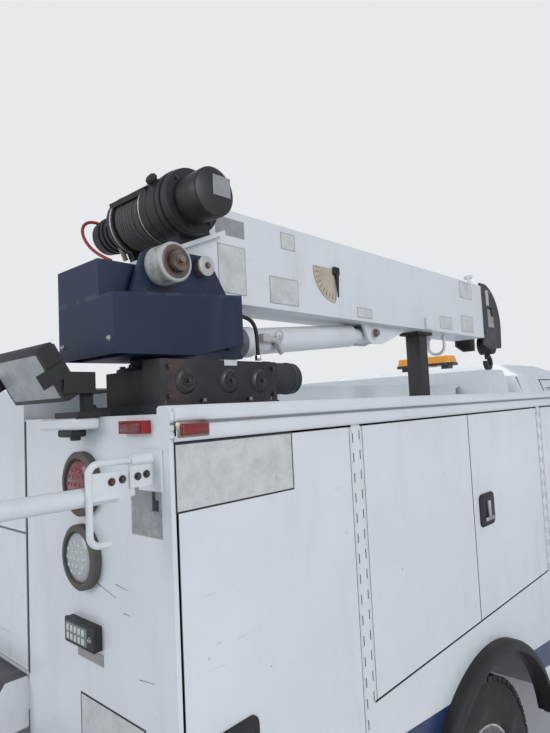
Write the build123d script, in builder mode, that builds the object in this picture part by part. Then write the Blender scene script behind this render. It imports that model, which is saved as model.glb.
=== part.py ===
"""Service crane truck: a regular-cab chassis, a service body and a small telescopic crane."""

from build123d import *
import math
import os

os.makedirs("parts", exist_ok=True)

# Millimetres. +X points forward, +Y to the driver's (left) side, +Z up.
# The origin is on the ground, under the middle of the truck's length and width.

# Overall layout
wheelbase = 3690.0
front_overhang = 970.0
rear_axle_from_body = 1245.0
bumper_reach = 330.0
body_length = 2743.0
body_width = 2388.0
axle_height = 405.0

overall_length = bumper_reach + rear_axle_from_body + wheelbase + front_overhang
rear_end_x = -overall_length / 2
front_end_x = overall_length / 2
body_rear_x = rear_end_x + bumper_reach
body_front_x = body_rear_x + body_length
rear_axle_x = body_rear_x + rear_axle_from_body
front_axle_x = rear_axle_x + wheelbase
half_width = body_width / 2

# Clearances
hinge_gap = 6.0
panel_gap = 6.0
seat_gap = 0.3
running_gap = 0.05

# Chassis frame
frame_width = 864.0
rail_depth = 210.0
rail_flange = 72.0
rail_wall = 8.0
rear_rail_top = 850.0
front_rail_top = 740.0
kick_length = 260.0
kick_front_x = front_axle_x - 2180.0
crossmember_depth = 90.0
crossmember_width = 60.0

# Wheels and tyres
tyre_radius = 405.0
tyre_width = 225.0
rim_radius = 252.0
rim_wall = 9.0
front_wheel_y = 900.0
inner_twin_y = 770.0
outer_twin_y = 1060.0
hub_radius = 75.0
front_spindle_radius = 28.0
rear_spindle_radius = 42.0
kingpin_y = 790.0
kingpin_radius = 18.0

# Cab
cab_to_front_axle = 2152.0
cab_half_width = 1005.0
cab_sill_z = 600.0
cab_floor_z = 790.0
belt_z = 1330.0
roof_edge_z = 1870.0
roof_crown_z = 1950.0
cab_wall = 48.0
cowl_setback = 452.0
hood_half_width = 740.0
arch_radius = 480.0

# Service body
pack_depth = 585.0
pack_floor_z = 530.0
pack_roof_z = 1750.0
pack_wall = 24.0
door_thickness = 40.0
end_post = 10.0
rear_door_width = 543.0
hinge_post = 37.0
middle_door_width = 1315.0
door_sill_height = 40.0
door_head_drop = 50.0
middle_door_sill_z = 1017.0
rail_height = 60.0
rail_rise = 15.0
rail_proud = 6.0
bed_floor_z = 1130.0
wheel_well_top_z = 960.0
body_arch_radius = 505.0
flare_reach = 45.0
flare_width = 34.0

# Crane, from the rear right corner of the right pack's roof
crane_from_rear = 250.0
crane_from_side = 285.0
boom_width = 152.0
boom_height = 240.0
boom_rest_height = 270.0

cab_rear_x = front_axle_x - cab_to_front_axle
cowl_x = front_axle_x - cowl_setback
inner_pack_y = half_width - pack_depth
crane_x = body_rear_x + crane_from_rear
crane_y = -half_width + crane_from_side
sides = (("right", -1), ("left", 1))


def block(x_span, y_span, z_span, mode=Mode.ADD):
    """Box between a low and a high value on each axis."""
    spans = (x_span, y_span, z_span)
    with Locations([tuple((low + high) / 2 for low, high in spans)]):
        Box(*(abs(high - low) for low, high in spans), mode=mode)


def span(sign, inner, outer):
    """Low and high Y of a piece that lies between two distances from the centre plane."""
    return tuple(sorted((sign * inner, sign * outer)))


def side_plate(points, y_low, y_high, mode=Mode.ADD):
    """Plate with its outline in the X-Z plane, between two values of Y."""
    with BuildSketch(Plane.XZ.offset(-y_high)) as outline:
        with BuildLine():
            Polyline(*points, close=True)
        make_face()
    extrude(outline.sketch, amount=y_high - y_low, mode=mode)


def cross_disc(x, z, radius, y_low, y_high, mode=Mode.ADD):
    """Round bar or hole along Y."""
    with BuildSketch(Plane.XZ.offset(-y_high)) as disc:
        with Locations((x, z)):
            Circle(radius)
    extrude(disc.sketch, amount=y_high - y_low, mode=mode)


def upright_bar(x, y, radius, z_low, z_high, mode=Mode.ADD):
    """Round bar or hole along Z."""
    with BuildSketch(Plane.XY.offset(z_low)) as disc:
        with Locations((x, y)):
            Circle(radius)
    extrude(disc.sketch, amount=z_high - z_low, mode=mode)


def long_bar(y, z, radius, x_low, x_high, mode=Mode.ADD):
    """Round bar or hole along X."""
    with BuildSketch(Plane.YZ.offset(x_low)) as disc:
        with Locations((y, z)):
            Circle(radius)
    extrude(disc.sketch, amount=x_high - x_low, mode=mode)


# Chassis frame: two channel rails that drop under the cab, joined by crossmembers
def rail_outline(inset):
    """Side outline of a rail, drawn in by its wall."""
    rear = rear_end_x + 90
    front = front_end_x - 175
    kick_rear_x = kick_front_x - kick_length
    return (
        (rear, rear_rail_top - inset),
        (kick_rear_x + inset * 0.4, rear_rail_top - inset),
        (kick_front_x + inset * 0.4, front_rail_top - inset),
        (front, front_rail_top - inset),
        (front, front_rail_top - rail_depth + inset),
        (kick_front_x - inset * 0.4, front_rail_top - rail_depth + inset),
        (kick_rear_x - inset * 0.4, rear_rail_top - rail_depth + inset),
        (rear, rear_rail_top - rail_depth + inset),
    )


rail_outer_y = frame_width / 2
rail_inner_y = rail_outer_y - rail_flange
rear_rail_bottom = rear_rail_top - rail_depth
front_rail_bottom = front_rail_top - rail_depth
spring_y = rail_outer_y + 45
spring_width = 70.0
hanger_plate = 8.0
rail_web_y = rail_outer_y - rail_wall - seat_gap

# Springs, for the front and the rear axle
spring_half_length = {"front": 560.0, "rear": 640.0}
spring_eye_rise = {"front": 150.0, "rear": 190.0}
spring_pack_height = {"front": 55.0, "rear": 85.0}
axle_x = {"front": front_axle_x, "rear": rear_axle_x}

with BuildPart() as chassis_frame:
    for side, sign in sides:
        side_plate(rail_outline(0), *span(sign, rail_inner_y, rail_outer_y))
        side_plate(
            rail_outline(rail_wall),
            *span(sign, rail_inner_y - 1, rail_outer_y - rail_wall),
            mode=Mode.SUBTRACT,
        )
    rear_crossmembers = [
        rear_end_x + 130,
        rear_axle_x - 560,
        rear_axle_x + 420,
        kick_front_x - kick_length - 120,
    ]
    front_crossmembers = [kick_front_x + 150, front_axle_x - 1150, front_end_x - 230]
    for rail_top, places in ((rear_rail_top, rear_crossmembers), (front_rail_top, front_crossmembers)):
        for x in places:
            block(
                (x - crossmember_width / 2, x + crossmember_width / 2),
                (-rail_outer_y + rail_wall, rail_outer_y - rail_wall),
                (rail_top - rail_wall - crossmember_depth, rail_top - rail_wall),
            )
    # Hangers on the outer face of the rails, one at each spring eye
    for axle in axle_x:
        for end in (-1, 1):
            eye_x = axle_x[axle] + end * spring_half_length[axle]
            eye_z = axle_height + spring_eye_rise[axle]
            rail_bottom = front_rail_bottom if axle == "front" else rear_rail_bottom
            for side, sign in sides:
                block(
                    (eye_x - 45, eye_x + 45),
                    span(sign, rail_outer_y, spring_y + spring_width / 2 + 12),
                    (eye_z + 45, rail_bottom + 90),
                )
                for toward in (-1, 1):
                    near_y = spring_y + toward * (spring_width / 2 + seat_gap)
                    block(
                        (eye_x - 30, eye_x + 30),
                        span(sign, near_y, near_y + toward * hanger_plate),
                        (eye_z - 30, eye_z + 45),
                    )
chassis_frame.part.label = "chassis_frame"
export_step(chassis_frame.part, "parts/chassis_frame.step")


def leaf_spring(axle, sign):
    """Arched spring pack with rolled eyes, thick over the axle and thin at its ends."""
    x = axle_x[axle]
    reach = spring_half_length[axle]
    eye_z = axle_height + spring_eye_rise[axle]
    seat_z = axle_height + 70
    thickness = spring_pack_height[axle]
    y_low, y_high = span(sign, spring_y - spring_width / 2, spring_y + spring_width / 2)
    with BuildSketch(Plane.XZ.offset(-y_high)) as arch:
        with BuildLine():
            ThreePointArc((x - reach, eye_z), (x, seat_z), (x + reach, eye_z))
            Line((x + reach, eye_z), (x + reach, eye_z + 14))
            ThreePointArc((x + reach, eye_z + 14), (x, seat_z + thickness), (x - reach, eye_z + 14))
            Line((x - reach, eye_z + 14), (x - reach, eye_z))
        make_face()
    extrude(arch.sketch, amount=spring_width)
    for end in (-1, 1):
        cross_disc(x + end * reach, eye_z + 7, 24, y_low, y_high)


with BuildPart() as front_axle:
    beam_end_y = kingpin_y - 30
    block(
        (front_axle_x - 45, front_axle_x + 45),
        (-beam_end_y, beam_end_y),
        (axle_height - 45, axle_height + 45),
    )
    block(
        (front_axle_x - 46, front_axle_x - 14),
        (-beam_end_y + 60, beam_end_y - 60),
        (axle_height - 27, axle_height + 27),
        mode=Mode.SUBTRACT,
    )
    block(
        (front_axle_x + 14, front_axle_x + 46),
        (-beam_end_y + 60, beam_end_y - 60),
        (axle_height - 27, axle_height + 27),
        mode=Mode.SUBTRACT,
    )
    for side, sign in sides:
        upright_bar(front_axle_x, sign * kingpin_y, 42, axle_height - 50, axle_height + 50)
        block(
            (front_axle_x - 55, front_axle_x + 55),
            span(sign, spring_y - 45, spring_y + 45),
            (axle_height + 40, axle_height + 74),
        )
        leaf_spring("front", sign)
        upright_bar(
            front_axle_x,
            sign * kingpin_y,
            kingpin_radius + running_gap,
            axle_height - 51,
            axle_height + 51,
            mode=Mode.SUBTRACT,
        )
front_axle.part.label = "front_axle"
export_step(front_axle.part, "parts/front_axle.step")

axle_tube_radius = 62.0
rear_hub_inner_y = 655.0
rear_spindle_end_y = 1010.0
with BuildPart() as rear_axle:
    cross_disc(rear_axle_x, axle_height, axle_tube_radius, -rear_hub_inner_y + 12, rear_hub_inner_y - 12)
    with Locations((rear_axle_x, 0, axle_height)):
        Sphere(170)
    block((rear_axle_x + 100, rear_axle_x + 260), (-60, 60), (axle_height - 60, axle_height + 60))
    for side, sign in sides:
        cross_disc(rear_axle_x, axle_height, rear_spindle_radius, *span(sign, 600, rear_spindle_end_y))
        block(
            (rear_axle_x - 60, rear_axle_x + 60),
            span(sign, spring_y - 45, spring_y + 45),
            (axle_height + 30, axle_height + 74),
        )
        leaf_spring("rear", sign)
rear_axle.part.label = "rear_axle"
export_step(rear_axle.part, "parts/rear_axle.step")

# Engine as one plain block, with mounts on the rails; gearbox and propeller shaft behind it
engine_rear_x = front_axle_x - 420
engine_front_x = front_axle_x + 480
engine_bottom_z = 545.0
engine_top_z = 1120.0
engine_half_width = 290.0
with BuildPart() as engine_block:
    block(
        (engine_rear_x, engine_front_x),
        (-engine_half_width, engine_half_width),
        (engine_bottom_z, engine_top_z),
    )
    block(
        (front_axle_x - 50, front_axle_x + 50),
        (-rail_web_y, rail_web_y),
        (front_rail_top - 60, front_rail_top - 20),
    )
engine_block.part.label = "engine_block"
export_step(engine_block.part, "parts/engine_block.step")

gearbox_end_x = engine_rear_x - 620
shaft_rear_x = rear_axle_x + 260
shaft_front_z = 580.0
with BuildPart() as driveshaft:
    with BuildSketch(Plane.YZ.offset(engine_rear_x)):
        with Locations((0, 605)):
            Circle(150)
    with BuildSketch(Plane.YZ.offset(gearbox_end_x)):
        with Locations((0, shaft_front_z)):
            Circle(80)
    loft(ruled=True)
    with BuildSketch(Plane.YZ.offset(gearbox_end_x)):
        with Locations((0, shaft_front_z)):
            Circle(48)
    with BuildSketch(Plane.YZ.offset(shaft_rear_x)):
        with Locations((0, axle_height)):
            Circle(48)
    loft(ruled=True)
driveshaft.part.label = "driveshaft"
export_step(driveshaft.part, "parts/driveshaft.step")

tank_half_width = rail_inner_y - 8
with BuildPart() as fuel_tank:
    tank_span = (rear_end_x + 420, rear_axle_x - 640)
    block(tank_span, (-tank_half_width, tank_half_width), (rear_rail_bottom - 130, rear_rail_top - 120))
    fillet(fuel_tank.edges().filter_by(Axis.X), 40)
    for x in (tank_span[0] + 120, tank_span[1] - 120):
        block((x - 20, x + 20), (-rail_web_y, rail_web_y), (rear_rail_top - 160, rear_rail_top - 114))
fuel_tank.part.label = "fuel_tank"
export_step(fuel_tank.part, "parts/fuel_tank.step")

# Wheels and tyres: every section is turned about its own axle
rim_half_width = 95.0
rim_flange = 9.0
rim_lip = 16.0
disc_thickness = 11.0
disc_flat_radius = 150.0
hand_hole_radius = 21.0
hand_hole_circle = 196.0
hub_end_gap = 2.0
hub_cap = 26.0


def axle_plane(x):
    """Section plane through an axle, with local X across the truck and local Y up."""
    return Plane(origin=(x, 0, axle_height), x_dir=(0, 1, 0), z_dir=(1, 0, 0))


def turned_outline(x, points):
    """Solid of revolution about the axle line from (distance across, radius) points."""
    with BuildSketch(axle_plane(x)) as section:
        with BuildLine():
            Polyline(*points, close=True)
        make_face()
    revolve(section.sketch, axis=Axis((x, 0, axle_height), (0, 1, 0)))


def rim(x, y_mid, face_y):
    """Rim barrel with its lips, and a dished disc whose flat lies at face_y."""
    barrel_inner = rim_radius - rim_wall
    low, high = y_mid - rim_half_width, y_mid + rim_half_width
    turned_outline(
        x,
        (
            (low, barrel_inner),
            (low, rim_radius + rim_lip),
            (low + rim_flange, rim_radius + rim_lip),
            (low + rim_flange, rim_radius),
            (high - rim_flange, rim_radius),
            (high - rim_flange, rim_radius + rim_lip),
            (high, rim_radius + rim_lip),
            (high, barrel_inner),
        ),
    )
    toward = math.copysign(1, face_y - y_mid)
    root_y = y_mid + toward * (rim_half_width - 30)
    turned_outline(
        x,
        (
            (root_y, barrel_inner + 1),
            (face_y, disc_flat_radius),
            (face_y, hub_radius - 5),
            (face_y - toward * disc_thickness, hub_radius - 5),
            (face_y - toward * disc_thickness, disc_flat_radius),
            (root_y - toward * disc_thickness, barrel_inner + 1),
        ),
    )


def hand_holes(x, y_low, y_high):
    """Ring of round hand holes through the wheel discs."""
    for index in range(8):
        angle = math.radians(45 * index + 22.5)
        cross_disc(
            x + hand_hole_circle * math.cos(angle),
            axle_height + hand_hole_circle * math.sin(angle),
            hand_hole_radius,
            y_low,
            y_high,
            mode=Mode.SUBTRACT,
        )


def tyre(x, y_mid):
    """Tyre section with a bulged sidewall and a chamfered shoulder."""
    bead = rim_half_width - rim_flange
    half = tyre_width / 2
    bead_top = rim_radius + rim_lip + seat_gap
    side_wall = (
        (bead, rim_radius),
        (bead, bead_top),
        (half - 10, bead_top),
        (half - 3, bead_top + 22),
        (half, bead_top + 55),
        (half - 2, tyre_radius - 54),
        (half - 8, tyre_radius - 24),
        (half - 14, tyre_radius - 8),
        (half - 28, tyre_radius),
    )
    near = [(y_mid + across, radius) for across, radius in side_wall]
    far = [(y_mid - across, radius) for across, radius in reversed(side_wall)]
    turned_outline(x, near + far)


knuckle_arm = 30.0
eye_half_height = 50.0
knuckle_plate_y = kingpin_y + 47
hub_inner_y = knuckle_plate_y + 28
front_face_y = front_wheel_y + 98
front_spindle_end_y = front_face_y + 4
twin_face_y = (inner_twin_y + outer_twin_y) / 2
for side, sign in sides:
    with BuildPart() as knuckle:
        arm_low = eye_half_height + seat_gap
        for way in (-1, 1):
            block(
                (front_axle_x - 38, front_axle_x + 38),
                span(sign, kingpin_y - 30, knuckle_plate_y + 24),
                tuple(sorted((axle_height + way * arm_low, axle_height + way * (arm_low + knuckle_arm)))),
            )
        block(
            (front_axle_x - 38, front_axle_x + 38),
            span(sign, knuckle_plate_y, knuckle_plate_y + 24),
            (axle_height - arm_low - 1, axle_height + arm_low + 1),
        )
        upright_bar(
            front_axle_x,
            sign * kingpin_y,
            kingpin_radius,
            axle_height - arm_low - 5,
            axle_height + arm_low + 5,
        )
        cross_disc(
            front_axle_x,
            axle_height,
            front_spindle_radius,
            *span(sign, knuckle_plate_y + 10, front_spindle_end_y),
        )
    knuckle.part.label = f"{side}_knuckle"
    export_step(knuckle.part, f"parts/{side}_knuckle.step")

    with BuildPart() as front_wheel:
        rim(front_axle_x, sign * front_wheel_y, sign * front_face_y)
        cross_disc(
            front_axle_x,
            axle_height,
            hub_radius,
            *span(sign, hub_inner_y, front_spindle_end_y + hub_end_gap),
        )
        cross_disc(
            front_axle_x,
            axle_height,
            hub_radius - 22,
            *span(sign, front_face_y, front_spindle_end_y + hub_end_gap + hub_cap),
        )
        cross_disc(
            front_axle_x,
            axle_height,
            front_spindle_radius + running_gap,
            *span(sign, hub_inner_y - 1, front_spindle_end_y + hub_end_gap),
            mode=Mode.SUBTRACT,
        )
        hand_holes(front_axle_x, *span(sign, front_wheel_y, front_face_y + 5))
    front_wheel.part.label = f"{side}_front_wheel"
    export_step(front_wheel.part, f"parts/{side}_front_wheel.step")

    with BuildPart() as front_tyre:
        tyre(front_axle_x, sign * front_wheel_y)
    front_tyre.part.label = f"{side}_front_tyre"
    export_step(front_tyre.part, f"parts/{side}_front_tyre.step")

    with BuildPart() as rear_wheels:
        for y_mid, toward in ((inner_twin_y, -0.001), (outer_twin_y, 0.001)):
            rim(rear_axle_x, sign * y_mid, sign * (twin_face_y + toward))
        cross_disc(
            rear_axle_x,
            axle_height,
            hub_radius,
            *span(sign, rear_hub_inner_y, rear_spindle_end_y + hub_end_gap),
        )
        cross_disc(
            rear_axle_x,
            axle_height,
            hub_radius - 12,
            *span(sign, twin_face_y, rear_spindle_end_y + hub_end_gap + hub_cap),
        )
        cross_disc(
            rear_axle_x,
            axle_height,
            rear_spindle_radius + running_gap,
            *span(sign, rear_hub_inner_y - 1, rear_spindle_end_y + hub_end_gap),
            mode=Mode.SUBTRACT,
        )
        hand_holes(rear_axle_x, *span(sign, inner_twin_y, outer_twin_y))
    rear_wheels.part.label = f"{side}_rear_wheels"
    export_step(rear_wheels.part, f"parts/{side}_rear_wheels.step")

    with BuildPart() as rear_tyres:
        for y_mid in (inner_twin_y, outer_twin_y):
            tyre(rear_axle_x, sign * y_mid)
    rear_tyres.part.label = f"{side}_rear_tyres"
    export_step(rear_tyres.part, f"parts/{side}_rear_tyres.step")

# Cab form: height, setback of the rear wall, setback of the front wall behind the cowl,
# half width, corner radius
cab_sections = (
    (cab_sill_z, 0, 0, cab_half_width, 50),
    (belt_z, 0, 0, cab_half_width, 50),
    (roof_edge_z, 70, 610, cab_half_width - 205, 110),
    (roof_crown_z, 190, 740, cab_half_width - 365, 140),
)


def cab_form(inset, lid=0.0):
    """Closed form of the cab, drawn in by a wall thickness; the crown drops by the lid."""
    sections = []
    for height, rear, front, half, radius in cab_sections:
        level = min(height, roof_crown_z - lid)
        x_low = cab_rear_x + rear + inset
        x_high = cowl_x - front - inset
        with BuildSketch(Plane.XY.offset(level)) as section:
            with Locations(((x_low + x_high) / 2, 0)):
                RectangleRounded(x_high - x_low, 2 * (half - inset), max(radius - inset, 12))
        sections.append(section.sketch)
    loft(sections, ruled=True)


def face_prism(points, x_low, x_high, mode):
    """Prism along X over an outline of (distance across, height) points."""
    with BuildSketch(Plane.YZ.offset(x_low)) as outline:
        with BuildLine():
            Polyline(*points, close=True)
        make_face()
        fillet(outline.vertices(), 45)
    extrude(outline.sketch, amount=x_high - x_low, mode=mode)


door_rear_x = cab_rear_x + 350
door_front_x = cowl_x - 60
door_top_front_x = cowl_x - 640
door_sill_z = cab_sill_z + 40
door_top_z = roof_edge_z - 25
window_frame = 52.0
cab_floor_sheet = 24.0


def door_outline(front, rear, rear_top, edge):
    """Side outline of the door opening, drawn in by its gaps."""
    return (
        (door_rear_x + rear, door_sill_z + edge),
        (door_rear_x + rear, belt_z),
        (door_rear_x + rear_top + 30, door_top_z - edge),
        (door_top_front_x - front, door_top_z - edge),
        (door_front_x - front, belt_z + 10),
        (door_front_x - front, door_sill_z + edge),
    )


def window_outline():
    """Side outline of the door's window opening."""
    rear = door_rear_x + window_frame + 10
    return (
        (rear, belt_z + 12),
        (rear + 30, door_top_z - window_frame),
        (door_top_front_x - window_frame + 5, door_top_z - window_frame),
        (door_front_x - 105, belt_z + 12),
    )


windscreen_outline = (
    (-cab_half_width + 140, belt_z + 45),
    (cab_half_width - 140, belt_z + 45),
    (cab_half_width - 285, roof_edge_z - 38),
    (-cab_half_width + 285, roof_edge_z - 38),
)
rear_window_outline = (
    (-640, belt_z + 80), (640, belt_z + 80), (590, roof_edge_z - 70), (-590, roof_edge_z - 70)
)

with BuildPart() as cab_skin:
    cab_form(0)
    with BuildPart(mode=Mode.PRIVATE) as skin_inside:
        cab_form(cab_wall, lid=cab_wall - 10)
    add(skin_inside.part, mode=Mode.SUBTRACT)

door_reach = 260.0
door_spans = {sign: span(sign, cab_half_width - door_reach, half_width) for side, sign in sides}
with BuildPart() as cab_shell:
    cab_form(0)
    with BuildPart(mode=Mode.PRIVATE) as door_openings:
        for side, sign in sides:
            side_plate(door_outline(0, 0, 0, 0), *door_spans[sign])
        add(cab_skin.part, mode=Mode.INTERSECT)
    with BuildPart(mode=Mode.PRIVATE) as cabin_space:
        cab_form(cab_wall, lid=cab_wall - 10)
        block(
            (cab_rear_x, cowl_x),
            (-cab_half_width, cab_half_width),
            (cab_floor_z - cab_floor_sheet, cab_floor_z),
            mode=Mode.SUBTRACT,
        )
    add(cabin_space.part, mode=Mode.SUBTRACT)
    block(
        (cab_rear_x - 5, cowl_x + 5),
        (-rail_outer_y - 15, rail_outer_y + 15),
        (cab_sill_z - 5, cab_floor_z - cab_floor_sheet),
        mode=Mode.SUBTRACT,
    )
    add(door_openings.part, mode=Mode.SUBTRACT)
    face_prism(windscreen_outline, door_rear_x + 300, cowl_x, Mode.SUBTRACT)
    face_prism(rear_window_outline, cab_rear_x - 5, door_rear_x - 100, Mode.SUBTRACT)
    for x in (cab_rear_x + 160, cowl_x - 260):
        for side, sign in sides:
            upright_bar(
                x, sign * (rail_outer_y - rail_flange / 2), 34, front_rail_top + seat_gap, cab_floor_z - 10
            )
cab_shell.part.label = "cab_shell"
export_step(cab_shell.part, "parts/cab_shell.step")

glass_depth = 14.0
glass_thickness = 5.0
with BuildPart() as glazing:
    cab_form(glass_depth, lid=glass_depth)
    with BuildPart(mode=Mode.PRIVATE) as inside_glass:
        cab_form(glass_depth + glass_thickness, lid=glass_depth + glass_thickness)
    add(inside_glass.part, mode=Mode.SUBTRACT)

with BuildPart() as cab_glass:
    with BuildPart(mode=Mode.PRIVATE) as glass_windows:
        face_prism(windscreen_outline, door_rear_x + 300, cowl_x, Mode.ADD)
        face_prism(rear_window_outline, cab_rear_x - 5, door_rear_x - 100, Mode.ADD)
    add(glazing.part)
    add(glass_windows.part, mode=Mode.INTERSECT)
cab_glass.part.label = "cab_glass"
export_step(cab_glass.part, "parts/cab_glass.step")

barrel_radius = hinge_gap / 2 - seat_gap
door_hinge_y = cab_half_width - barrel_radius
mirror_x = door_front_x - 130
for side, sign in sides:
    across = door_spans[sign]
    with BuildPart() as cab_door:
        add(cab_skin.part)
        side_plate(door_outline(hinge_gap, 8, 17, panel_gap), *across, mode=Mode.INTERSECT)
        side_plate(window_outline(), *across, mode=Mode.SUBTRACT)
        hinge_x = door_front_x - hinge_gap / 2
        for low in (door_sill_z + 90, belt_z - 190):
            upright_bar(hinge_x, sign * door_hinge_y, barrel_radius, low, low + 90)
            block(
                (hinge_x - hinge_gap / 2 - 0.5, hinge_x),
                span(sign, door_hinge_y - barrel_radius, door_hinge_y),
                (low, low + 90),
            )
        with BuildPart(mode=Mode.PRIVATE) as mirror:
            with Locations((mirror_x, sign * (cab_half_width + 165), belt_z + 170)):
                Box(52, 190, 330)
            fillet(mirror.edges(), 20)
            for rise in (0, 60):
                block(
                    (mirror_x - 18, mirror_x + 18),
                    span(sign, cab_half_width + (-2 if rise == 0 else 82), cab_half_width + 110),
                    (belt_z - 30, belt_z + rise),
                )
        add(mirror.part)
    cab_door.part.label = f"{side}_cab_door"
    export_step(cab_door.part, f"parts/{side}_cab_door.step")

    with BuildPart() as door_glass:
        add(glazing.part)
        side_plate(window_outline(), *across, mode=Mode.INTERSECT)
    door_glass.part.label = f"{side}_door_glass"
    export_step(door_glass.part, f"parts/{side}_door_glass.step")


seat_x = door_rear_x - 60
seat_front_x = seat_x + 590
seat_half_width = 690.0
with BuildPart() as cab_seat:
    side_plate(
        (
            (seat_x + 90, cab_floor_z),
            (seat_front_x - 60, cab_floor_z),
            (seat_front_x - 40, cab_floor_z + 190),
            (seat_front_x, cab_floor_z + 210),
            (seat_front_x - 10, cab_floor_z + 345),
            (seat_x + 190, cab_floor_z + 325),
            (seat_x + 50, cab_floor_z + 940),
            (seat_x - 70, cab_floor_z + 930),
            (seat_x + 60, cab_floor_z + 300),
        ),
        -seat_half_width,
        seat_half_width,
    )
    fillet(cab_seat.edges().filter_by(Axis.Y).group_by(Axis.Z)[-1], 30)
cab_seat.part.label = "cab_seat"
export_step(cab_seat.part, "parts/cab_seat.step")

dash_x = cowl_x - 335
wheel_y = 365.0
steering_plane = Plane(origin=(dash_x - 175, wheel_y, belt_z - 30), x_dir=(0, 1, 0), z_dir=(-0.86, 0, 0.5))
with BuildPart() as dashboard:
    side_plate(
        (
            (dash_x, belt_z - 10),
            (cowl_x - 110, belt_z + 25),
            (cowl_x - cab_wall - seat_gap, belt_z - 10),
            (cowl_x - cab_wall - 60, belt_z - 360),
            (dash_x + 60, belt_z - 330),
            (dash_x - 10, belt_z - 130),
        ),
        -cab_half_width + cab_wall + 12,
        cab_half_width - cab_wall - 12,
    )
    with Locations(steering_plane):
        Torus(190, 14)
        Cylinder(46, 34)
        Box(26, 380, 16)
    with BuildSketch(steering_plane):
        Circle(30)
    extrude(amount=-230)
dashboard.part.label = "dashboard"
export_step(dashboard.part, "parts/dashboard.step")

# Front end: the radiator support stands on the rails and carries the lamps, grille and fenders
support_front_x = front_end_x - 152
support_rear_x = support_front_x - 30
grille_half_width = 600.0
grille_low_z = 880.0
grille_high_z = 1120.0
nose_top_z = 1160.0
fender_sheet = 30.0
fender_rear_x = cowl_x + 8
with BuildPart() as grille:
    block(
        (support_rear_x, support_front_x),
        (-cab_half_width + fender_sheet + seat_gap, cab_half_width - fender_sheet - seat_gap),
        (grille_low_z - 20, grille_high_z + 5),
    )
    block(
        (support_rear_x, support_front_x),
        (-grille_half_width, grille_half_width),
        (grille_high_z, nose_top_z),
    )
    block(
        (support_rear_x - 1, support_front_x + 1),
        (-grille_half_width + 40, grille_half_width - 40),
        (grille_low_z + 10, grille_high_z - 10),
        mode=Mode.SUBTRACT,
    )
    for side, sign in sides:
        block(
            (support_rear_x - 45, support_front_x),
            span(sign, rail_inner_y, rail_outer_y),
            (front_rail_top + seat_gap, grille_low_z),
        )
    block(
        (support_front_x, support_front_x + 52),
        (-grille_half_width, grille_half_width),
        (grille_low_z, grille_high_z),
    )
    block(
        (support_front_x - 1, support_front_x + 53),
        (-grille_half_width + 40, grille_half_width - 40),
        (grille_low_z + 30, grille_high_z - 30),
        mode=Mode.SUBTRACT,
    )
    bar_pitch = (grille_high_z - grille_low_z) / 4
    for index in (1, 2, 3):
        bar_z = grille_low_z + index * bar_pitch
        block(
            (support_front_x, support_front_x + 40),
            (-grille_half_width + 30, grille_half_width - 30),
            (bar_z - 12, bar_z + 12),
        )
grille.part.label = "grille"
export_step(grille.part, "parts/grille.step")

lamp_low_y = grille_half_width + 30
lamp_high_y = cab_half_width - fender_sheet - 14
with BuildPart() as headlamps:
    for side, sign in sides:
        block(
            (support_front_x, support_front_x + 58),
            span(sign, lamp_low_y, lamp_high_y),
            (grille_low_z, grille_high_z - 5),
        )
    fillet(headlamps.edges().filter_by(Axis.X), 22)
    fillet(headlamps.faces().sort_by(Axis.X)[-2:].edges(), 12)
headlamps.part.label = "headlamps"
export_step(headlamps.part, "parts/headlamps.step")

fender_front_x = support_front_x
fender_low_z = 700.0
hood_rear_z = belt_z - 8
fender_front_z = nose_top_z + 5
with BuildPart() as front_fenders:
    for side, sign in sides:
        side_plate(
            (
                (fender_rear_x, fender_low_z - 60),
                (fender_rear_x, hood_rear_z - 12),
                (fender_front_x, fender_front_z),
                (fender_front_x, fender_low_z + 90),
            ),
            *span(sign, cab_half_width - fender_sheet, cab_half_width),
        )
        side_plate(
            (
                (fender_rear_x, hood_rear_z - 12),
                (fender_front_x, fender_front_z),
                (fender_front_x, fender_front_z - fender_sheet - 4),
                (fender_rear_x, hood_rear_z - 12 - fender_sheet),
            ),
            *span(sign, hood_half_width + 8, cab_half_width - fender_sheet),
        )
        cross_disc(
            front_axle_x,
            axle_height,
            arch_radius,
            *span(sign, hood_half_width, half_width),
            mode=Mode.SUBTRACT,
        )
front_fenders.part.label = "front_fenders"
export_step(front_fenders.part, "parts/front_fenders.step")

hood_barrel_radius = 4.5
hood_hinge_x = cowl_x + hood_barrel_radius + seat_gap
hood_hinge_z = belt_z - 6
hood_sheet = 30.0
hood_nose_x = support_front_x + 30
with BuildPart() as hood:
    side_plate(
        (
            (hood_hinge_x + 4, hood_hinge_z + 3),
            (hood_hinge_x + 160, hood_hinge_z + 12),
            (hood_nose_x - 160, nose_top_z + 78),
            (hood_nose_x - 30, nose_top_z + 42),
            (hood_nose_x, nose_top_z + 6),
            (hood_nose_x - 60, nose_top_z + 6),
            (hood_nose_x - 190, nose_top_z + 78 - hood_sheet),
            (hood_hinge_x + 160, hood_hinge_z + 12 - hood_sheet),
            (hood_hinge_x + 4, hood_hinge_z - 20),
        ),
        -hood_half_width,
        hood_half_width,
    )
    side_plate(
        (
            (hood_hinge_x + 200, hood_hinge_z + 8),
            (hood_hinge_x + 330, hood_hinge_z + 34),
            (hood_nose_x - 330, nose_top_z + 118),
            (hood_nose_x - 200, nose_top_z + 80),
        ),
        -hood_half_width + 330,
        hood_half_width - 330,
    )
    for side, sign in sides:
        hinge_span = span(sign, hood_half_width - 190, hood_half_width - 90)
        cross_disc(hood_hinge_x, hood_hinge_z, hood_barrel_radius, *hinge_span)
        block((hood_hinge_x, hood_hinge_x + 6), hinge_span, (hood_hinge_z - 4, hood_hinge_z + 2))
hood.part.label = "hood"
export_step(hood.part, "parts/hood.step")

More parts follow.
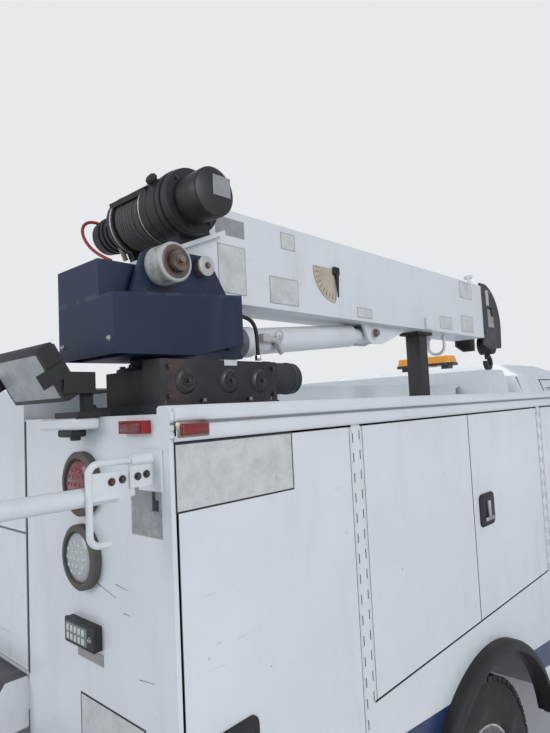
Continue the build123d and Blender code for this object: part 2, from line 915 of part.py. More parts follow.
bumper_top_z = 810.0
bumper_low_z = 570.0
bumper_depth = 130.0
with BuildPart() as front_bumper:
    side_plate(
        (
            (front_end_x - bumper_depth, bumper_top_z),
            (front_end_x - 20, bumper_top_z),
            (front_end_x, bumper_top_z - 30),
            (front_end_x, bumper_low_z + 80),
            (front_end_x - 40, bumper_low_z),
            (front_end_x - bumper_depth, bumper_low_z),
        ),
        -cab_half_width,
        cab_half_width,
    )
    fillet(front_bumper.edges().filter_by(Axis.Z).group_by(Axis.X)[-1], 70)
    for side, sign in sides:
        block(
            (front_end_x - 175, front_end_x - bumper_depth + 5),
            span(sign, rail_inner_y, rail_outer_y),
            (bumper_low_z + 10, front_rail_top),
        )
front_bumper.part.label = "front_bumper"
export_step(front_bumper.part, "parts/front_bumper.step")

light_bar_x = cab_rear_x + 467
light_bar_length = 450.0
with BuildPart() as light_bar:
    foot_top_z = roof_crown_z + 38
    for side, sign in sides:
        block(
            (light_bar_x - 40, light_bar_x + 40),
            span(sign, light_bar_length / 2 - 90, light_bar_length / 2 - 40),
            (roof_crown_z, foot_top_z + 2),
        )
    with BuildSketch(Plane.XY.offset(foot_top_z)) as bar_base:
        with Locations((light_bar_x, 0)):
            RectangleRounded(150, light_bar_length, 40)
    extrude(bar_base.sketch, amount=20)
    with BuildSketch(Plane.XY.offset(foot_top_z + 20)) as dome_foot:
        with Locations((light_bar_x, 0)):
            RectangleRounded(140, light_bar_length - 12, 38)
    extrude(dome_foot.sketch, amount=50, taper=14)
light_bar.part.label = "light_bar"
export_step(light_bar.part, "parts/light_bar.step")

# Service body: a tall pack of lockers on each side of a bed
rear_door_low_x = body_rear_x + end_post
rear_door_high_x = rear_door_low_x + rear_door_width
middle_low_x = rear_door_high_x + hinge_post
middle_high_x = middle_low_x + middle_door_width
front_door_low_x = middle_high_x + hinge_post
front_door_high_x = body_front_x - end_post
middle_split_x = (middle_low_x + middle_high_x) / 2 - 22
tall_sill_z = pack_floor_z + door_sill_height
door_head_z = pack_roof_z - door_head_drop
pack_outer_sheet = 24.0

# Door openings: name, low X, high X, sill height, hinged edge
door_bays = (
    ("rear_pack_door", rear_door_low_x, rear_door_high_x, tall_sill_z, "high"),
    ("middle_rear_pack_door", middle_low_x, middle_split_x, middle_door_sill_z, "low"),
    ("middle_front_pack_door", middle_split_x, middle_high_x, middle_door_sill_z, "high"),
    ("front_pack_door", front_door_low_x, front_door_high_x, tall_sill_z, "low"),
)
compartments = (
    (rear_door_low_x, rear_door_high_x, tall_sill_z),
    (middle_low_x, middle_high_x, middle_door_sill_z),
    (front_door_low_x, front_door_high_x, tall_sill_z),
)

for side, sign in sides:
    with BuildPart() as pack:
        block(
            (body_rear_x, body_front_x), span(sign, inner_pack_y, half_width), (pack_floor_z, pack_roof_z)
        )
        for low_x, high_x, sill_z in compartments:
            block(
                (low_x, high_x),
                span(sign, inner_pack_y + pack_wall, half_width + 1),
                (sill_z, door_head_z),
                mode=Mode.SUBTRACT,
            )
        block(
            (rear_door_high_x + hinge_post - 10, front_door_low_x - hinge_post + 10),
            span(sign, inner_pack_y + pack_wall, half_width - pack_outer_sheet),
            (pack_floor_z - 1, wheel_well_top_z),
            mode=Mode.SUBTRACT,
        )
        cross_disc(
            rear_axle_x,
            axle_height,
            body_arch_radius,
            *span(sign, half_width - pack_outer_sheet - 1, half_width + 1),
            mode=Mode.SUBTRACT,
        )
        rail_face_y = half_width + rail_proud
        rail_top_z = pack_roof_z + rail_rise
        with BuildSketch(Plane.YZ.offset(body_rear_x)) as rail_section:
            with BuildLine():
                Polyline(
                    (sign * (half_width - 34), pack_roof_z),
                    (sign * (half_width - 34), rail_top_z - 4),
                    (sign * (half_width - 28), rail_top_z),
                    (sign * (half_width - 6), rail_top_z),
                    (sign * rail_face_y, rail_top_z - 14),
                    (sign * rail_face_y, rail_top_z - 26),
                    (sign * (rail_face_y - 3), rail_top_z - 29),
                    (sign * rail_face_y, rail_top_z - 32),
                    (sign * rail_face_y, rail_top_z - 44),
                    (sign * (rail_face_y - 3), rail_top_z - 47),
                    (sign * rail_face_y, rail_top_z - 50),
                    (sign * rail_face_y, rail_top_z - rail_height + 2),
                    (sign * (half_width - 1), rail_top_z - rail_height),
                    (sign * (half_width - 1), pack_roof_z - 2),
                    (sign * (half_width - 20), pack_roof_z - 2),
                    close=True,
                )
            make_face()
        extrude(rail_section.sketch, amount=body_length)
    pack.part.label = f"{side}_pack"
    export_step(pack.part, f"parts/{side}_pack.step")

    barrel_y = half_width - barrel_radius
    for name, low_x, high_x, sill_z, hinged in door_bays:
        split_low = panel_gap if low_x != middle_split_x else panel_gap / 2
        split_high = panel_gap if high_x != middle_split_x else panel_gap / 2
        slab_low = low_x + (hinge_gap if hinged == "low" else split_low)
        slab_high = high_x - (hinge_gap if hinged == "high" else split_high)
        slab_z = (sill_z + panel_gap, door_head_z - panel_gap)
        hinge_x = low_x + hinge_gap / 2 if hinged == "low" else high_x - hinge_gap / 2
        leaf_x = slab_low + 0.5 if hinged == "low" else slab_high - 0.5
        with BuildPart() as pack_door:
            block((slab_low, slab_high), span(sign, half_width - door_thickness, half_width), slab_z)
            upright_bar(hinge_x, sign * barrel_y, barrel_radius, *slab_z)
            block(tuple(sorted((hinge_x, leaf_x))), span(sign, barrel_y - barrel_radius, barrel_y), slab_z)
        pack_door.part.label = f"{side}_{name}"
        export_step(pack_door.part, f"parts/{side}_{name}.step")

with BuildPart() as fender_flares:
    for side, sign in sides:
        with BuildSketch(Plane.XZ.offset(-sign * half_width)) as flare:
            with Locations((rear_axle_x, axle_height)):
                Circle(body_arch_radius + flare_width - 8)
                Circle(body_arch_radius - 8, mode=Mode.SUBTRACT)
            with Locations((rear_axle_x, pack_floor_z - 500)):
                Rectangle(2400, 1000, mode=Mode.SUBTRACT)
        extrude(flare.sketch, amount=-sign * flare_reach)
    outer_rims = fender_flares.edges().filter_by(GeomType.CIRCLE).group_by(SortBy.RADIUS)[-1]
    proud = [edge for edge in outer_rims if abs(edge.center().Y) > half_width + flare_reach / 2]
    fillet(proud, flare_width * 0.7)
fender_flares.part.label = "fender_flares"
export_step(fender_flares.part, "parts/fender_flares.step")

# Bed: floor sheet on crossbars and sills, bulkhead, rear sill with the tailgate's hinge rest
bed_half_width = inner_pack_y - seat_gap
sill_top_z = bed_floor_z - 70
ledge_reach = 70.0
ledge_top_z = bed_floor_z + 8
gate_hinge_x = body_rear_x + 6
gate_hinge_z = bed_floor_z + 20
gate_barrel = 5.7
bulkhead = 30.0
with BuildPart() as bed:
    block((body_rear_x, body_front_x), (-bed_half_width, bed_half_width), (bed_floor_z - 10, bed_floor_z))
    for side, sign in sides:
        block(
            (body_rear_x, kick_front_x - kick_length - 30),
            span(sign, rail_inner_y, rail_outer_y),
            (rear_rail_top + seat_gap, sill_top_z),
        )
        block(
            (body_rear_x, body_front_x),
            span(sign, bed_half_width - 30, bed_half_width),
            (sill_top_z, bed_floor_z),
        )
    crossbar_count = 7
    crossbar_pitch = (body_length - 80) / (crossbar_count - 1)
    for index in range(crossbar_count):
        bar_x = body_rear_x + 40 + index * crossbar_pitch
        block((bar_x - 30, bar_x + 30), (-bed_half_width, bed_half_width), (sill_top_z, bed_floor_z - 5))
    block(
        (body_front_x - bulkhead, body_front_x),
        (-bed_half_width, bed_half_width),
        (bed_floor_z - 5, pack_roof_z),
    )
    side_plate(
        (
            (body_rear_x, ledge_top_z),
            (body_rear_x - ledge_reach + 15, ledge_top_z),
            (body_rear_x - ledge_reach, ledge_top_z - 20),
            (body_rear_x - ledge_reach, bed_floor_z - 110),
            (body_rear_x, bed_floor_z - 110),
        ),
        -bed_half_width + 6,
        bed_half_width - 6,
    )
    block(
        (gate_hinge_x - 4.5, gate_hinge_x + 6),
        (-bed_half_width + 6, bed_half_width - 6),
        (bed_floor_z - 1, gate_hinge_z - gate_barrel - seat_gap),
    )
bed.part.label = "bed"
export_step(bed.part, "parts/bed.step")

gate_top_z = bed_floor_z + 340
gate_half_width = inner_pack_y - 8
gate_thickness = 40.0
with BuildPart() as tailgate:
    block(
        (body_rear_x, body_rear_x + gate_thickness),
        (-gate_half_width, gate_half_width),
        (gate_hinge_z + 5, gate_top_z),
    )
    block(
        (body_rear_x - 1, body_rear_x + 6),
        (-gate_half_width + 110, gate_half_width - 110),
        (gate_hinge_z + 60, gate_top_z - 50),
        mode=Mode.SUBTRACT,
    )
    cross_disc(gate_hinge_x, gate_hinge_z, gate_barrel, -gate_half_width, gate_half_width)
    block(
        (gate_hinge_x, gate_hinge_x + 5.7),
        (-gate_half_width, gate_half_width),
        (gate_hinge_z, gate_hinge_z + 6),
    )
tailgate.part.label = "tailgate"
export_step(tailgate.part, "parts/tailgate.step")

cover_top_z = pack_roof_z + 77
cover_sheet = 20.0
cover_hinge_x = body_rear_x + 2450
cover_hinge_z = cover_top_z - 8
cover_half_width = inner_pack_y - 8
cover_skirt_z = pack_roof_z - 30
with BuildPart() as cargo_cover:
    block(
        (body_rear_x, cover_hinge_x - 5),
        (-cover_half_width, cover_half_width),
        (cover_top_z - cover_sheet, cover_top_z),
    )
    for side, sign in sides:
        block(
            (body_rear_x, cover_hinge_x - 30),
            span(sign, cover_half_width - cover_sheet, cover_half_width),
            (cover_skirt_z, cover_top_z - 5),
        )
    block(
        (cover_hinge_x - 50, cover_hinge_x - 30),
        (-cover_half_width, cover_half_width),
        (cover_skirt_z, cover_top_z - 5),
    )
    block(
        (body_rear_x, body_rear_x + cover_sheet),
        (-cover_half_width, cover_half_width),
        (gate_top_z + 6, cover_top_z - 5),
    )
    cross_disc(cover_hinge_x, cover_hinge_z, gate_barrel, -cover_half_width, cover_half_width)
    block(
        (cover_hinge_x - 6, cover_hinge_x),
        (-cover_half_width, cover_half_width),
        (cover_hinge_z - 3, cover_hinge_z + 3),
    )
cargo_cover.part.label = "cargo_cover"
export_step(cargo_cover.part, "parts/cargo_cover.step")

locker_rear_x = cover_hinge_x + gate_barrel + seat_gap
locker_top_z = pack_roof_z + 150
locker_half_width = half_width - 420
with BuildPart() as front_locker:
    block(
        (locker_rear_x, body_front_x - bulkhead),
        (-bed_half_width, bed_half_width),
        (bed_floor_z + seat_gap, pack_roof_z + seat_gap),
    )
    side_plate(
        (
            (locker_rear_x, pack_roof_z + seat_gap),
            (locker_rear_x, locker_top_z),
            (body_front_x - 70, locker_top_z),
            (body_front_x, locker_top_z - 70),
            (body_front_x, pack_roof_z + seat_gap),
        ),
        -locker_half_width,
        locker_half_width,
    )
front_locker.part.label = "front_locker"
export_step(front_locker.part, "parts/front_locker.step")

# Rear bumper: a step under the rail ends, with a drop plate drilled for a towing pintle
step_top_z = rear_rail_bottom - seat_gap
step_half_width = half_width - 60
pintle_z = 455.0
pintle_spacing_y = 85.7
pintle_spacing_z = 44.5
pintle_hole_radius = 7.1
pintle_plate = 16.0
with BuildPart() as rear_bumper:
    block(
        (rear_end_x, body_rear_x - 20), (-step_half_width, step_half_width), (step_top_z - 22, step_top_z)
    )
    block(
        (rear_end_x, rear_end_x + 40), (-step_half_width, step_half_width), (step_top_z - 120, step_top_z)
    )
    fillet(rear_bumper.edges().filter_by(Axis.Z).group_by(Axis.X)[0], 25)
    block((rear_end_x, rear_end_x + pintle_plate), (-130, 130), (pintle_z - 55, step_top_z - 60))
    for side, sign in sides:
        side_plate(
            (
                (rear_end_x + 10, pintle_z),
                (rear_end_x + 10, step_top_z - 10),
                (rear_end_x + 240, step_top_z - 10),
                (rear_end_x + 240, step_top_z - 60),
            ),
            *span(sign, 110, 120),
        )
    for y in (-pintle_spacing_y / 2, pintle_spacing_y / 2):
        for z in (pintle_z - pintle_spacing_z / 2, pintle_z + pintle_spacing_z / 2):
            long_bar(
                y, z, pintle_hole_radius, rear_end_x - 1, rear_end_x + pintle_plate + 1, mode=Mode.SUBTRACT
            )
rear_bumper.part.label = "rear_bumper"
export_step(rear_bumper.part, "parts/rear_bumper.step")

# Rear lamps on each pack: distance in from the side, drop from the roof, radius of the round ones
grommet_radius = 66.5
round_lamps = ((298, 138), (305, 290))
strobe_inset, strobe_drop, strobe_length, strobe_height = 303.0, 444.0, 117.0, 48.0
marker_inset, marker_drop, marker_length, marker_height = 95.0, 22.0, 83.0, 24.0
with BuildPart() as rear_lamps:
    for side, sign in sides:
        for inset, drop in round_lamps:
            long_bar(
                sign * (half_width - inset),
                pack_roof_z - drop,
                grommet_radius,
                body_rear_x - 14,
                body_rear_x,
            )
        block(
            (body_rear_x - 14, body_rear_x),
            span(
                sign,
                half_width - strobe_inset - strobe_length / 2,
                half_width - strobe_inset + strobe_length / 2,
            ),
            (pack_roof_z - strobe_drop - strobe_height / 2, pack_roof_z - strobe_drop + strobe_height / 2),
        )
        block(
            (body_rear_x - 16, body_rear_x),
            span(
                sign,
                half_width - marker_inset - marker_length / 2,
                half_width - marker_inset + marker_length / 2,
            ),
            (pack_roof_z - marker_drop - marker_height / 2, pack_roof_z - marker_drop + marker_height / 2),
        )
rear_lamps.part.label = "rear_lamps"
export_step(rear_lamps.part, "parts/rear_lamps.step")

# Cone holder: lapped plates on the rear wall carry a tube, and a bent retainer rod in a sleeve
holder_y = -half_width + 45
holder_tube_z = pack_roof_z - 133
holder_rod_z = pack_roof_z - 78
holder_tube_radius = 16.0
holder_rod_radius = 6.0
with BuildPart() as cone_holder:
    block(
        (body_rear_x - 5, body_rear_x - seat_gap),
        (holder_y - 25, holder_y + 45),
        (holder_rod_z - 60, holder_rod_z + 16),
    )
    block(
        (body_rear_x - 52, body_rear_x - 2), (holder_y, holder_y + 5), (holder_rod_z - 48, holder_rod_z - 4)
    )
    block(
        (body_rear_x - 128, body_rear_x - 40),
        (holder_y + 5, holder_y + 10),
        (holder_rod_z - 62, holder_rod_z - 16),
    )
    long_bar(holder_y + 24, holder_tube_z, holder_tube_radius, rear_end_x + 8, body_rear_x - 70)
    long_bar(holder_y + 5, holder_rod_z, holder_rod_radius + 5, body_rear_x - 50, body_rear_x - 2)
    with BuildLine(mode=Mode.PRIVATE) as retainer_path:
        FilletPolyline(
            (body_rear_x - 45, holder_y + 5, holder_rod_z),
            (body_rear_x - 128, holder_y + 5, holder_rod_z),
            (body_rear_x - 128, holder_y + 5, holder_rod_z - 135),
            (body_rear_x - 92, holder_y + 5, holder_rod_z - 135),
            radius=18,
        )
    rod_plane = Plane(origin=(body_rear_x - 45, holder_y + 5, holder_rod_z), z_dir=(-1, 0, 0))
    with BuildSketch(rod_plane) as rod_section:
        Circle(holder_rod_radius)
    sweep(rod_section.sketch, path=retainer_path.line)
cone_holder.part.label = "cone_holder"
export_step(cone_holder.part, "parts/cone_holder.step")

# Work light: a wide lamp head tipped down on a yoke, over a bracket on the rear wall
light_y = -half_width + 352
light_plane = Plane(
    origin=(body_rear_x - 84, light_y, pack_roof_z + 92), x_dir=(0, 1, 0), z_dir=(
        -math.cos(0.54), 0, -math.sin(0.54)
    )
)
with BuildPart() as work_light:
    with Locations(light_plane):
        Box(238, 118, 34)
        for offset in (-1, 1):
            with Locations((offset * 122, 0, 16)):
                Box(5, 30, 60)
    fillet(work_light.edges().filter_by(GeomType.LINE).group_by(SortBy.LENGTH)[-1], 6)
    with Locations((body_rear_x - 22, light_y - 97, pack_roof_z + 52)):
        Box(90, 56, 6)
    block(
        (body_rear_x - 52, body_rear_x + 22),
        (light_y - 125, light_y - 30),
        (pack_roof_z + seat_gap, pack_roof_z + 12),
    )
    block(
        (body_rear_x - 26, body_rear_x - 6),
        (light_y - 107, light_y - 87),
        (pack_roof_z + 10, pack_roof_z + 54),
    )
    for offset in (-1, 1):
        block(
            (body_rear_x - 78, body_rear_x - 10),
            (light_y + offset * 122 - 3, light_y + offset * 122 + 3),
            (pack_roof_z + 49, pack_roof_z + 92),
        )
    block(
        (body_rear_x - 30, body_rear_x - 10),
        (light_y - 125, light_y + 125),
        (pack_roof_z + 49, pack_roof_z + 55),
    )
work_light.part.label = "work_light"
export_step(work_light.part, "parts/work_light.step")

# Crane. Places on it are given from the slewing centre (forward, across) and from the pack's roof (up)
def at(forward, up):
    """Point in the X-Z plane from the slewing centre and the pack's roof."""
    return (crane_x + forward, pack_roof_z + up)


def crane_plate(points, low, high, mode=Mode.ADD):
    """Plate of the crane with a side outline, between two distances left of its centre."""
    side_plate([at(*point) for point in points], crane_y + low, crane_y + high, mode=mode)


def crane_bar(forward, up, radius, low, high, mode=Mode.ADD):
    """Round bar or hole of the crane along Y."""
    cross_disc(*at(forward, up), radius, crane_y + low, crane_y + high, mode=mode)


def crane_block(forward, across, up, mode=Mode.ADD):
    """Box of the crane between low and high values."""
    block(
        tuple(crane_x + value for value in forward),
        tuple(crane_y + value for value in across),
        tuple(pack_roof_z + value for value in up),
        mode=mode,
    )


base_plate = 20.0
gearbox_top = 120.0
turret_low = gearbox_top + 6
boom_half = boom_width / 2
ear_gap = 6.0
ear_thickness = 12.0
ear_inner = boom_half + ear_gap
ear_outer = ear_inner + ear_thickness
pivot_forward, pivot_up = -115.0, 325.0
pivot_pin_radius = 20.0
rod_pin_forward, rod_pin_up = 80.0, 170.0
boom_eye_forward, boom_eye_up = 810.0, 240.0

motor_across, motor_up, motor_radius = -112.0, 76.0, 41.0
motor_flange_radius = 44.0
with BuildPart() as crane_base:
    crane_block((-175, 175), (-165, 155), (0, base_plate))
    crane_block((-170, 180), (-155, -92), (base_plate - 2, gearbox_top - 6))
    upright_bar(crane_x, crane_y, 150, pack_roof_z + base_plate - 2, pack_roof_z + gearbox_top - 14)
    upright_bar(crane_x, crane_y, 118, pack_roof_z + gearbox_top - 16, pack_roof_z + turret_low - seat_gap)
    crane_block((-166, -60), (-92, 60), (base_plate - 2, gearbox_top - 24))
    for forward in (-105, 20, 120):
        crane_bar(forward, 68, 21, -163, -150)
    long_bar(
        crane_y + motor_across, pack_roof_z + motor_up, motor_radius, crane_x + 178, crane_x + 282
    )
    long_bar(
        crane_y + motor_across, pack_roof_z + motor_up, motor_flange_radius, crane_x + 178, crane_x + 192
    )
crane_base.part.label = "crane_base"
export_step(crane_base.part, "parts/crane_base.step")

cover_sheet_metal = 5.0
band_half = 115.0
band_rear, band_front = -250.0, 110.0
band_outline = ((band_rear, 126), (band_rear, 251), (band_front, 282), (band_front, 160), (-40, 128))
box_front = -156.0
box_right = -61.0
box_top = 330.0
ear_outline = (
    (-200, turret_low),
    (-200, 240),
    (-162, 350),
    (-135, 368),
    (10, 368),
    (34, 352),
    (120, 215),
    (120, turret_low),
)
with BuildPart() as turret:
    upright_bar(crane_x, crane_y, 112, pack_roof_z + turret_low, pack_roof_z + turret_low + 8)
    crane_block((-205, 125), (-ear_outer, ear_outer), (turret_low, turret_low + 10))
    for low, high in ((-ear_outer, -ear_inner), (ear_inner, ear_outer)):
        crane_plate(ear_outline, low, high)
    crane_bar(pivot_forward, pivot_up, pivot_pin_radius, -ear_outer, ear_outer)
    for way in (-1, 1):
        crane_bar(pivot_forward, pivot_up, 44, *sorted((way * (ear_outer - 1), way * (ear_outer + 52))))
        crane_bar(pivot_forward, pivot_up, 22, *sorted((way * (ear_outer + 50), way * (ear_outer + 72))))
        crane_bar(0, 340, 22, *sorted((way * (ear_outer - 1), way * (ear_outer + 22))))
        crane_bar(rod_pin_forward, rod_pin_up, 24, *sorted((way * (ear_outer - 1), way * (ear_outer + 8))))
    for way in (-1, 1):
        crane_plate(band_outline, *sorted((way * band_half, way * (band_half - cover_sheet_metal))))
        crane_block(
            (-150, -120),
            tuple(sorted((way * (ear_outer - 1), way * (band_half - 2)))),
            (turret_low + 12, turret_low + 40),
        )
        crane_block(
            (60, 90),
            tuple(sorted((way * (ear_outer - 1), way * (band_half - 2)))),
            (turret_low + 40, turret_low + 60),
        )
    crane_block((band_rear, band_rear + cover_sheet_metal), (-band_half, band_half), (126, 251))
    crane_block((band_rear, box_front), (box_right, band_half), (box_top - cover_sheet_metal, box_top))
    crane_block((band_rear, band_rear + cover_sheet_metal), (box_right, band_half), (240, box_top))
    crane_block((band_rear, box_front), (band_half - cover_sheet_metal, band_half), (240, box_top))
    crane_block((band_rear, box_front), (box_right, box_right + cover_sheet_metal), (246, box_top))
turret.part.label = "turret"
export_step(turret.part, "parts/turret.step")

outer_front = 1680.0
outer_rear = 70.0
boom_low = boom_rest_height
boom_high = boom_low + boom_height
boom_wall = 9.0
boom_bore = pivot_pin_radius + running_gap
deck_rear = (-60.0, 384.0)
deck_front = (76.0, 444.5)
gusset_half_gap = 32.0
gusset_plate = 10.0
eye_pin_radius = 15.0
loop_forward = 1357.0
with BuildPart() as outer_boom:
    crane_block((outer_rear, outer_front), (-boom_half, boom_half), (boom_low, boom_high))
    for low, high in ((-boom_half, -boom_half + 14), (boom_half - 14, boom_half)):
        crane_plate(
            (
                (-118, 292),
                (outer_rear + 5, boom_low),
                (outer_rear + 5, boom_high),
                (outer_rear - 30, boom_high),
                (outer_rear - 30, 428),
                (-60, 380),
                (-118, 358),
            ),
            low,
            high,
        )
        crane_bar(pivot_forward, pivot_up, 34, low, high)
    crane_bar(pivot_forward, pivot_up, 31, -boom_half, boom_half)
    crane_plate(
        (
            deck_rear,
            (deck_rear[0] + 4, deck_rear[1] - 9),
            (deck_front[0] + 4, deck_front[1] - 9),
            deck_front,
        ),
        -100,
        100,
    )
    crane_bar(pivot_forward, pivot_up, boom_bore, -boom_half - 1, boom_half + 1, mode=Mode.SUBTRACT)
    crane_block(
        (outer_rear + 12, outer_front + 1),
        (-boom_half + boom_wall, boom_half - boom_wall),
        (boom_low + boom_wall, boom_high - boom_wall),
        mode=Mode.SUBTRACT,
    )
    for way in (-1, 1):
        crane_plate(
            (
                (750, boom_low + 2),
                (1060, boom_low + 2),
                (868, boom_eye_up - 34),
                (800, boom_eye_up - 36),
                (776, boom_eye_up - 22),
            ),
            *sorted((way * gusset_half_gap, way * (gusset_half_gap + gusset_plate))),
        )
    crane_bar(
        boom_eye_forward,
        boom_eye_up,
        eye_pin_radius,
        -gusset_half_gap - gusset_plate - 8,
        gusset_half_gap + gusset_plate + 8,
    )
    crane_block((1118, 1174), (-boom_half - 10, -boom_half + 1), (boom_low + 2, boom_low + 44))
    for way in (-1, 1):
        crane_bar(loop_forward, boom_low - 12, 9, way * 34 - 6, way * 34 + 6)
    with BuildLine(mode=Mode.PRIVATE) as loop_path:
        FilletPolyline(
            (crane_x + loop_forward, crane_y - 36, pack_roof_z + boom_low + 3),
            (crane_x + loop_forward, crane_y - 36, pack_roof_z + boom_low - 80),
            (crane_x + loop_forward, crane_y + 36, pack_roof_z + boom_low - 80),
            (crane_x + loop_forward, crane_y + 36, pack_roof_z + boom_low + 3),
            radius=34,
        )
    loop_plane = Plane(origin=(crane_x + loop_forward, crane_y - 36, pack_roof_z + boom_low + 3), z_dir=(0, 0, -1))
    with BuildSketch(loop_plane) as rod:
        Circle(6)
    sweep(rod.sketch, path=loop_path.line)
outer_boom.part.label = "outer_boom"
export_step(outer_boom.part, "parts/outer_boom.step")

# Winch lying across the sloped deck: its axis stands over the deck by the winch's centre height
winch_forward, winch_up = -38.0, 485.0
deck_angle = math.degrees(math.atan2(deck_front[1] - deck_rear[1], deck_front[0] - deck_rear[0]))
winch_sections = (
    (56.0, -195.0, -120.0),
    (76.0, -121.0, -18.0),
    (79.0, -96.0, -84.0),
    (76.0, -19.0, -12.0),
    (61.0, -13.0, 104.0),
    (76.0, 103.0, 128.0),
    (46.0, 127.0, 250.0),
)
winch_centre_height = (
    (winch_up - deck_rear[1]) * math.cos(math.radians(deck_angle))
    - (winch_forward - deck_rear[0]) * math.sin(math.radians(deck_angle))
    - seat_gap
)
with BuildPart() as winch:
    for radius, low, high in winch_sections:
        crane_bar(winch_forward, winch_up, radius, low, high)
    winch_plane = Plane(
        origin=(crane_x + winch_forward, crane_y, pack_roof_z + winch_up),
        x_dir=(math.cos(math.radians(deck_angle)), 0, math.sin(math.radians(deck_angle))),
        z_dir=(-math.sin(math.radians(deck_angle)), 0, math.cos(math.radians(deck_angle))),
    )
    with Locations(winch_plane):
        for y_mid, width in ((-66, 44), (115, 22)):
            with Locations((0, y_mid, -winch_centre_height / 2 - 8)):
                Box(96, width, winch_centre_height - 16)
        for x in (-44, 44):
            with Locations((x, 42, 62)):
                Box(12, 152, 12)
winch.part.label = "winch"
export_step(winch.part, "parts/winch.step")

# Inner boom on slide pads, with the tip plates and the sheave
inner_half = boom_half - boom_wall - 5
inner_low = boom_low + boom_wall + 5
inner_high = boom_high - boom_wall - 5
tip_plate_low = inner_half
tip_plate_high = inner_half + 8
sheave_forward, sheave_up, sheave_radius = 1805.0, 400.0, 80.0
pad = 5 - seat_gap
with BuildPart() as inner_boom:
    crane_block((400, outer_front + 70), (-inner_half, inner_half), (inner_low, inner_high))
    crane_block(
        (399, outer_front + 60),
        (-inner_half + 8, inner_half - 8),
        (inner_low + 8, inner_high - 8),
        mode=Mode.SUBTRACT,
    )
    for forward in (410, 1600):
        crane_block(
            (forward, forward + 70), (-inner_half + 15, inner_half - 15), (inner_low - pad, inner_low + 1)
        )
        crane_block(
            (forward, forward + 70), (-inner_half + 15, inner_half - 15), (inner_high - 1, inner_high + pad)
        )
        for way in (-1, 1):
            crane_block(
                (forward, forward + 70),
                tuple(sorted((way * (inner_half - 1), way * (inner_half + pad)))),
                (inner_low + 30, inner_high - 30),
            )
    for way in (-1, 1):
        tip_face = max(way * tip_plate_low, way * tip_plate_high)
        with BuildSketch(Plane.XZ.offset(-crane_y - tip_face)) as tip_side:
            with BuildLine():
                Polyline(
                    at(outer_front + 8, 244),
                    at(outer_front + 8, 527),
                    at(outer_front + 65, 527),
                )
                ThreePointArc(
                    at(outer_front + 65, 527), at(outer_front + 172, 468), at(outer_front + 223, 330)
                )
                Polyline(
                    at(outer_front + 223, 330),
                    at(outer_front + 213, 232),
                    at(outer_front + 90, 222),
                    at(outer_front + 8, 244),
                )
            make_face()
        extrude(tip_side.sketch, amount=tip_plate_high - tip_plate_low)
    crane_bar(sheave_forward, sheave_up, sheave_radius, -18, 18)
    crane_bar(sheave_forward, sheave_up, 22, -tip_plate_high - 8, tip_plate_high + 8)
    crane_bar(outer_front + 60, 515, 10, -tip_plate_high, tip_plate_high)
inner_boom.part.label = "inner_boom"
export_step(inner_boom.part, "parts/inner_boom.step")

# Fall of rope that leaves the front of the sheave, and the hook block that swings at its end
rope_radius = 4.0
fall_forward = sheave_forward + sheave_radius + rope_radius + seat_gap
block_up = 255.5
block_radius = 48.0
neck_low = 195.0
hook_up = 168.0
with BuildPart() as hook_rope:
    upright_bar(
        crane_x + fall_forward,
        crane_y,
        rope_radius,
        pack_roof_z + block_up + block_radius + seat_gap,
        pack_roof_z + sheave_up,
    )
hook_rope.part.label = "hook_rope"
export_step(hook_rope.part, "parts/hook_rope.step")

with BuildPart() as hook_block:
    crane_bar(fall_forward, block_up, block_radius, -30, 30)
    crane_bar(fall_forward, block_up, 14, -40, 40)
    upright_bar(crane_x + fall_forward, crane_y, 13, pack_roof_z + neck_low, pack_roof_z + neck_low + 30)
    with BuildSketch(Plane.XZ.offset(-crane_y - 10)) as hook_side:
        with Locations(at(fall_forward, hook_up)):
            Circle(36)
            with Locations((2, 2)):
                Circle(19, mode=Mode.SUBTRACT)
            with Locations((-26, 20)):
                Rectangle(30, 24, mode=Mode.SUBTRACT)
    extrude(hook_side.sketch, amount=20)
hook_block.part.label = "hook_block"
export_step(hook_block.part, "parts/hook_block.step")

# Lift cylinder: the barrel hangs from the boom's eye pin, the rod reaches back to the turret
reach_x = rod_pin_forward - boom_eye_forward
reach_z = rod_pin_up - boom_eye_up
cylinder_length = math.hypot(reach_x, reach_z)
cylinder_axis = (reach_x / cylinder_length, 0, reach_z / cylinder_length)
barrel_outer = 37.5
barrel_inner = 32.0
barrel_start, barrel_end = 84.0, 610.0
rod_radius = 20.0
rod_inner_end = 150.0
eye_half = 29.0


def along_cylinder(distance):
    """Plane across the cylinder at a distance from the boom's eye pin."""
    x, z = at(boom_eye_forward + cylinder_axis[0] * distance, boom_eye_up + cylinder_axis[2] * distance)
    return Plane(origin=(x, crane_y, z), x_dir=(0, 1, 0), z_dir=cylinder_axis)


def cylinder_bar(radius, start, end, mode=Mode.ADD):
    """Round bar or bore on the cylinder's own axis."""
    with BuildSketch(along_cylinder(start)) as disc:
        Circle(radius)
    extrude(disc.sketch, amount=end - start, mode=mode)


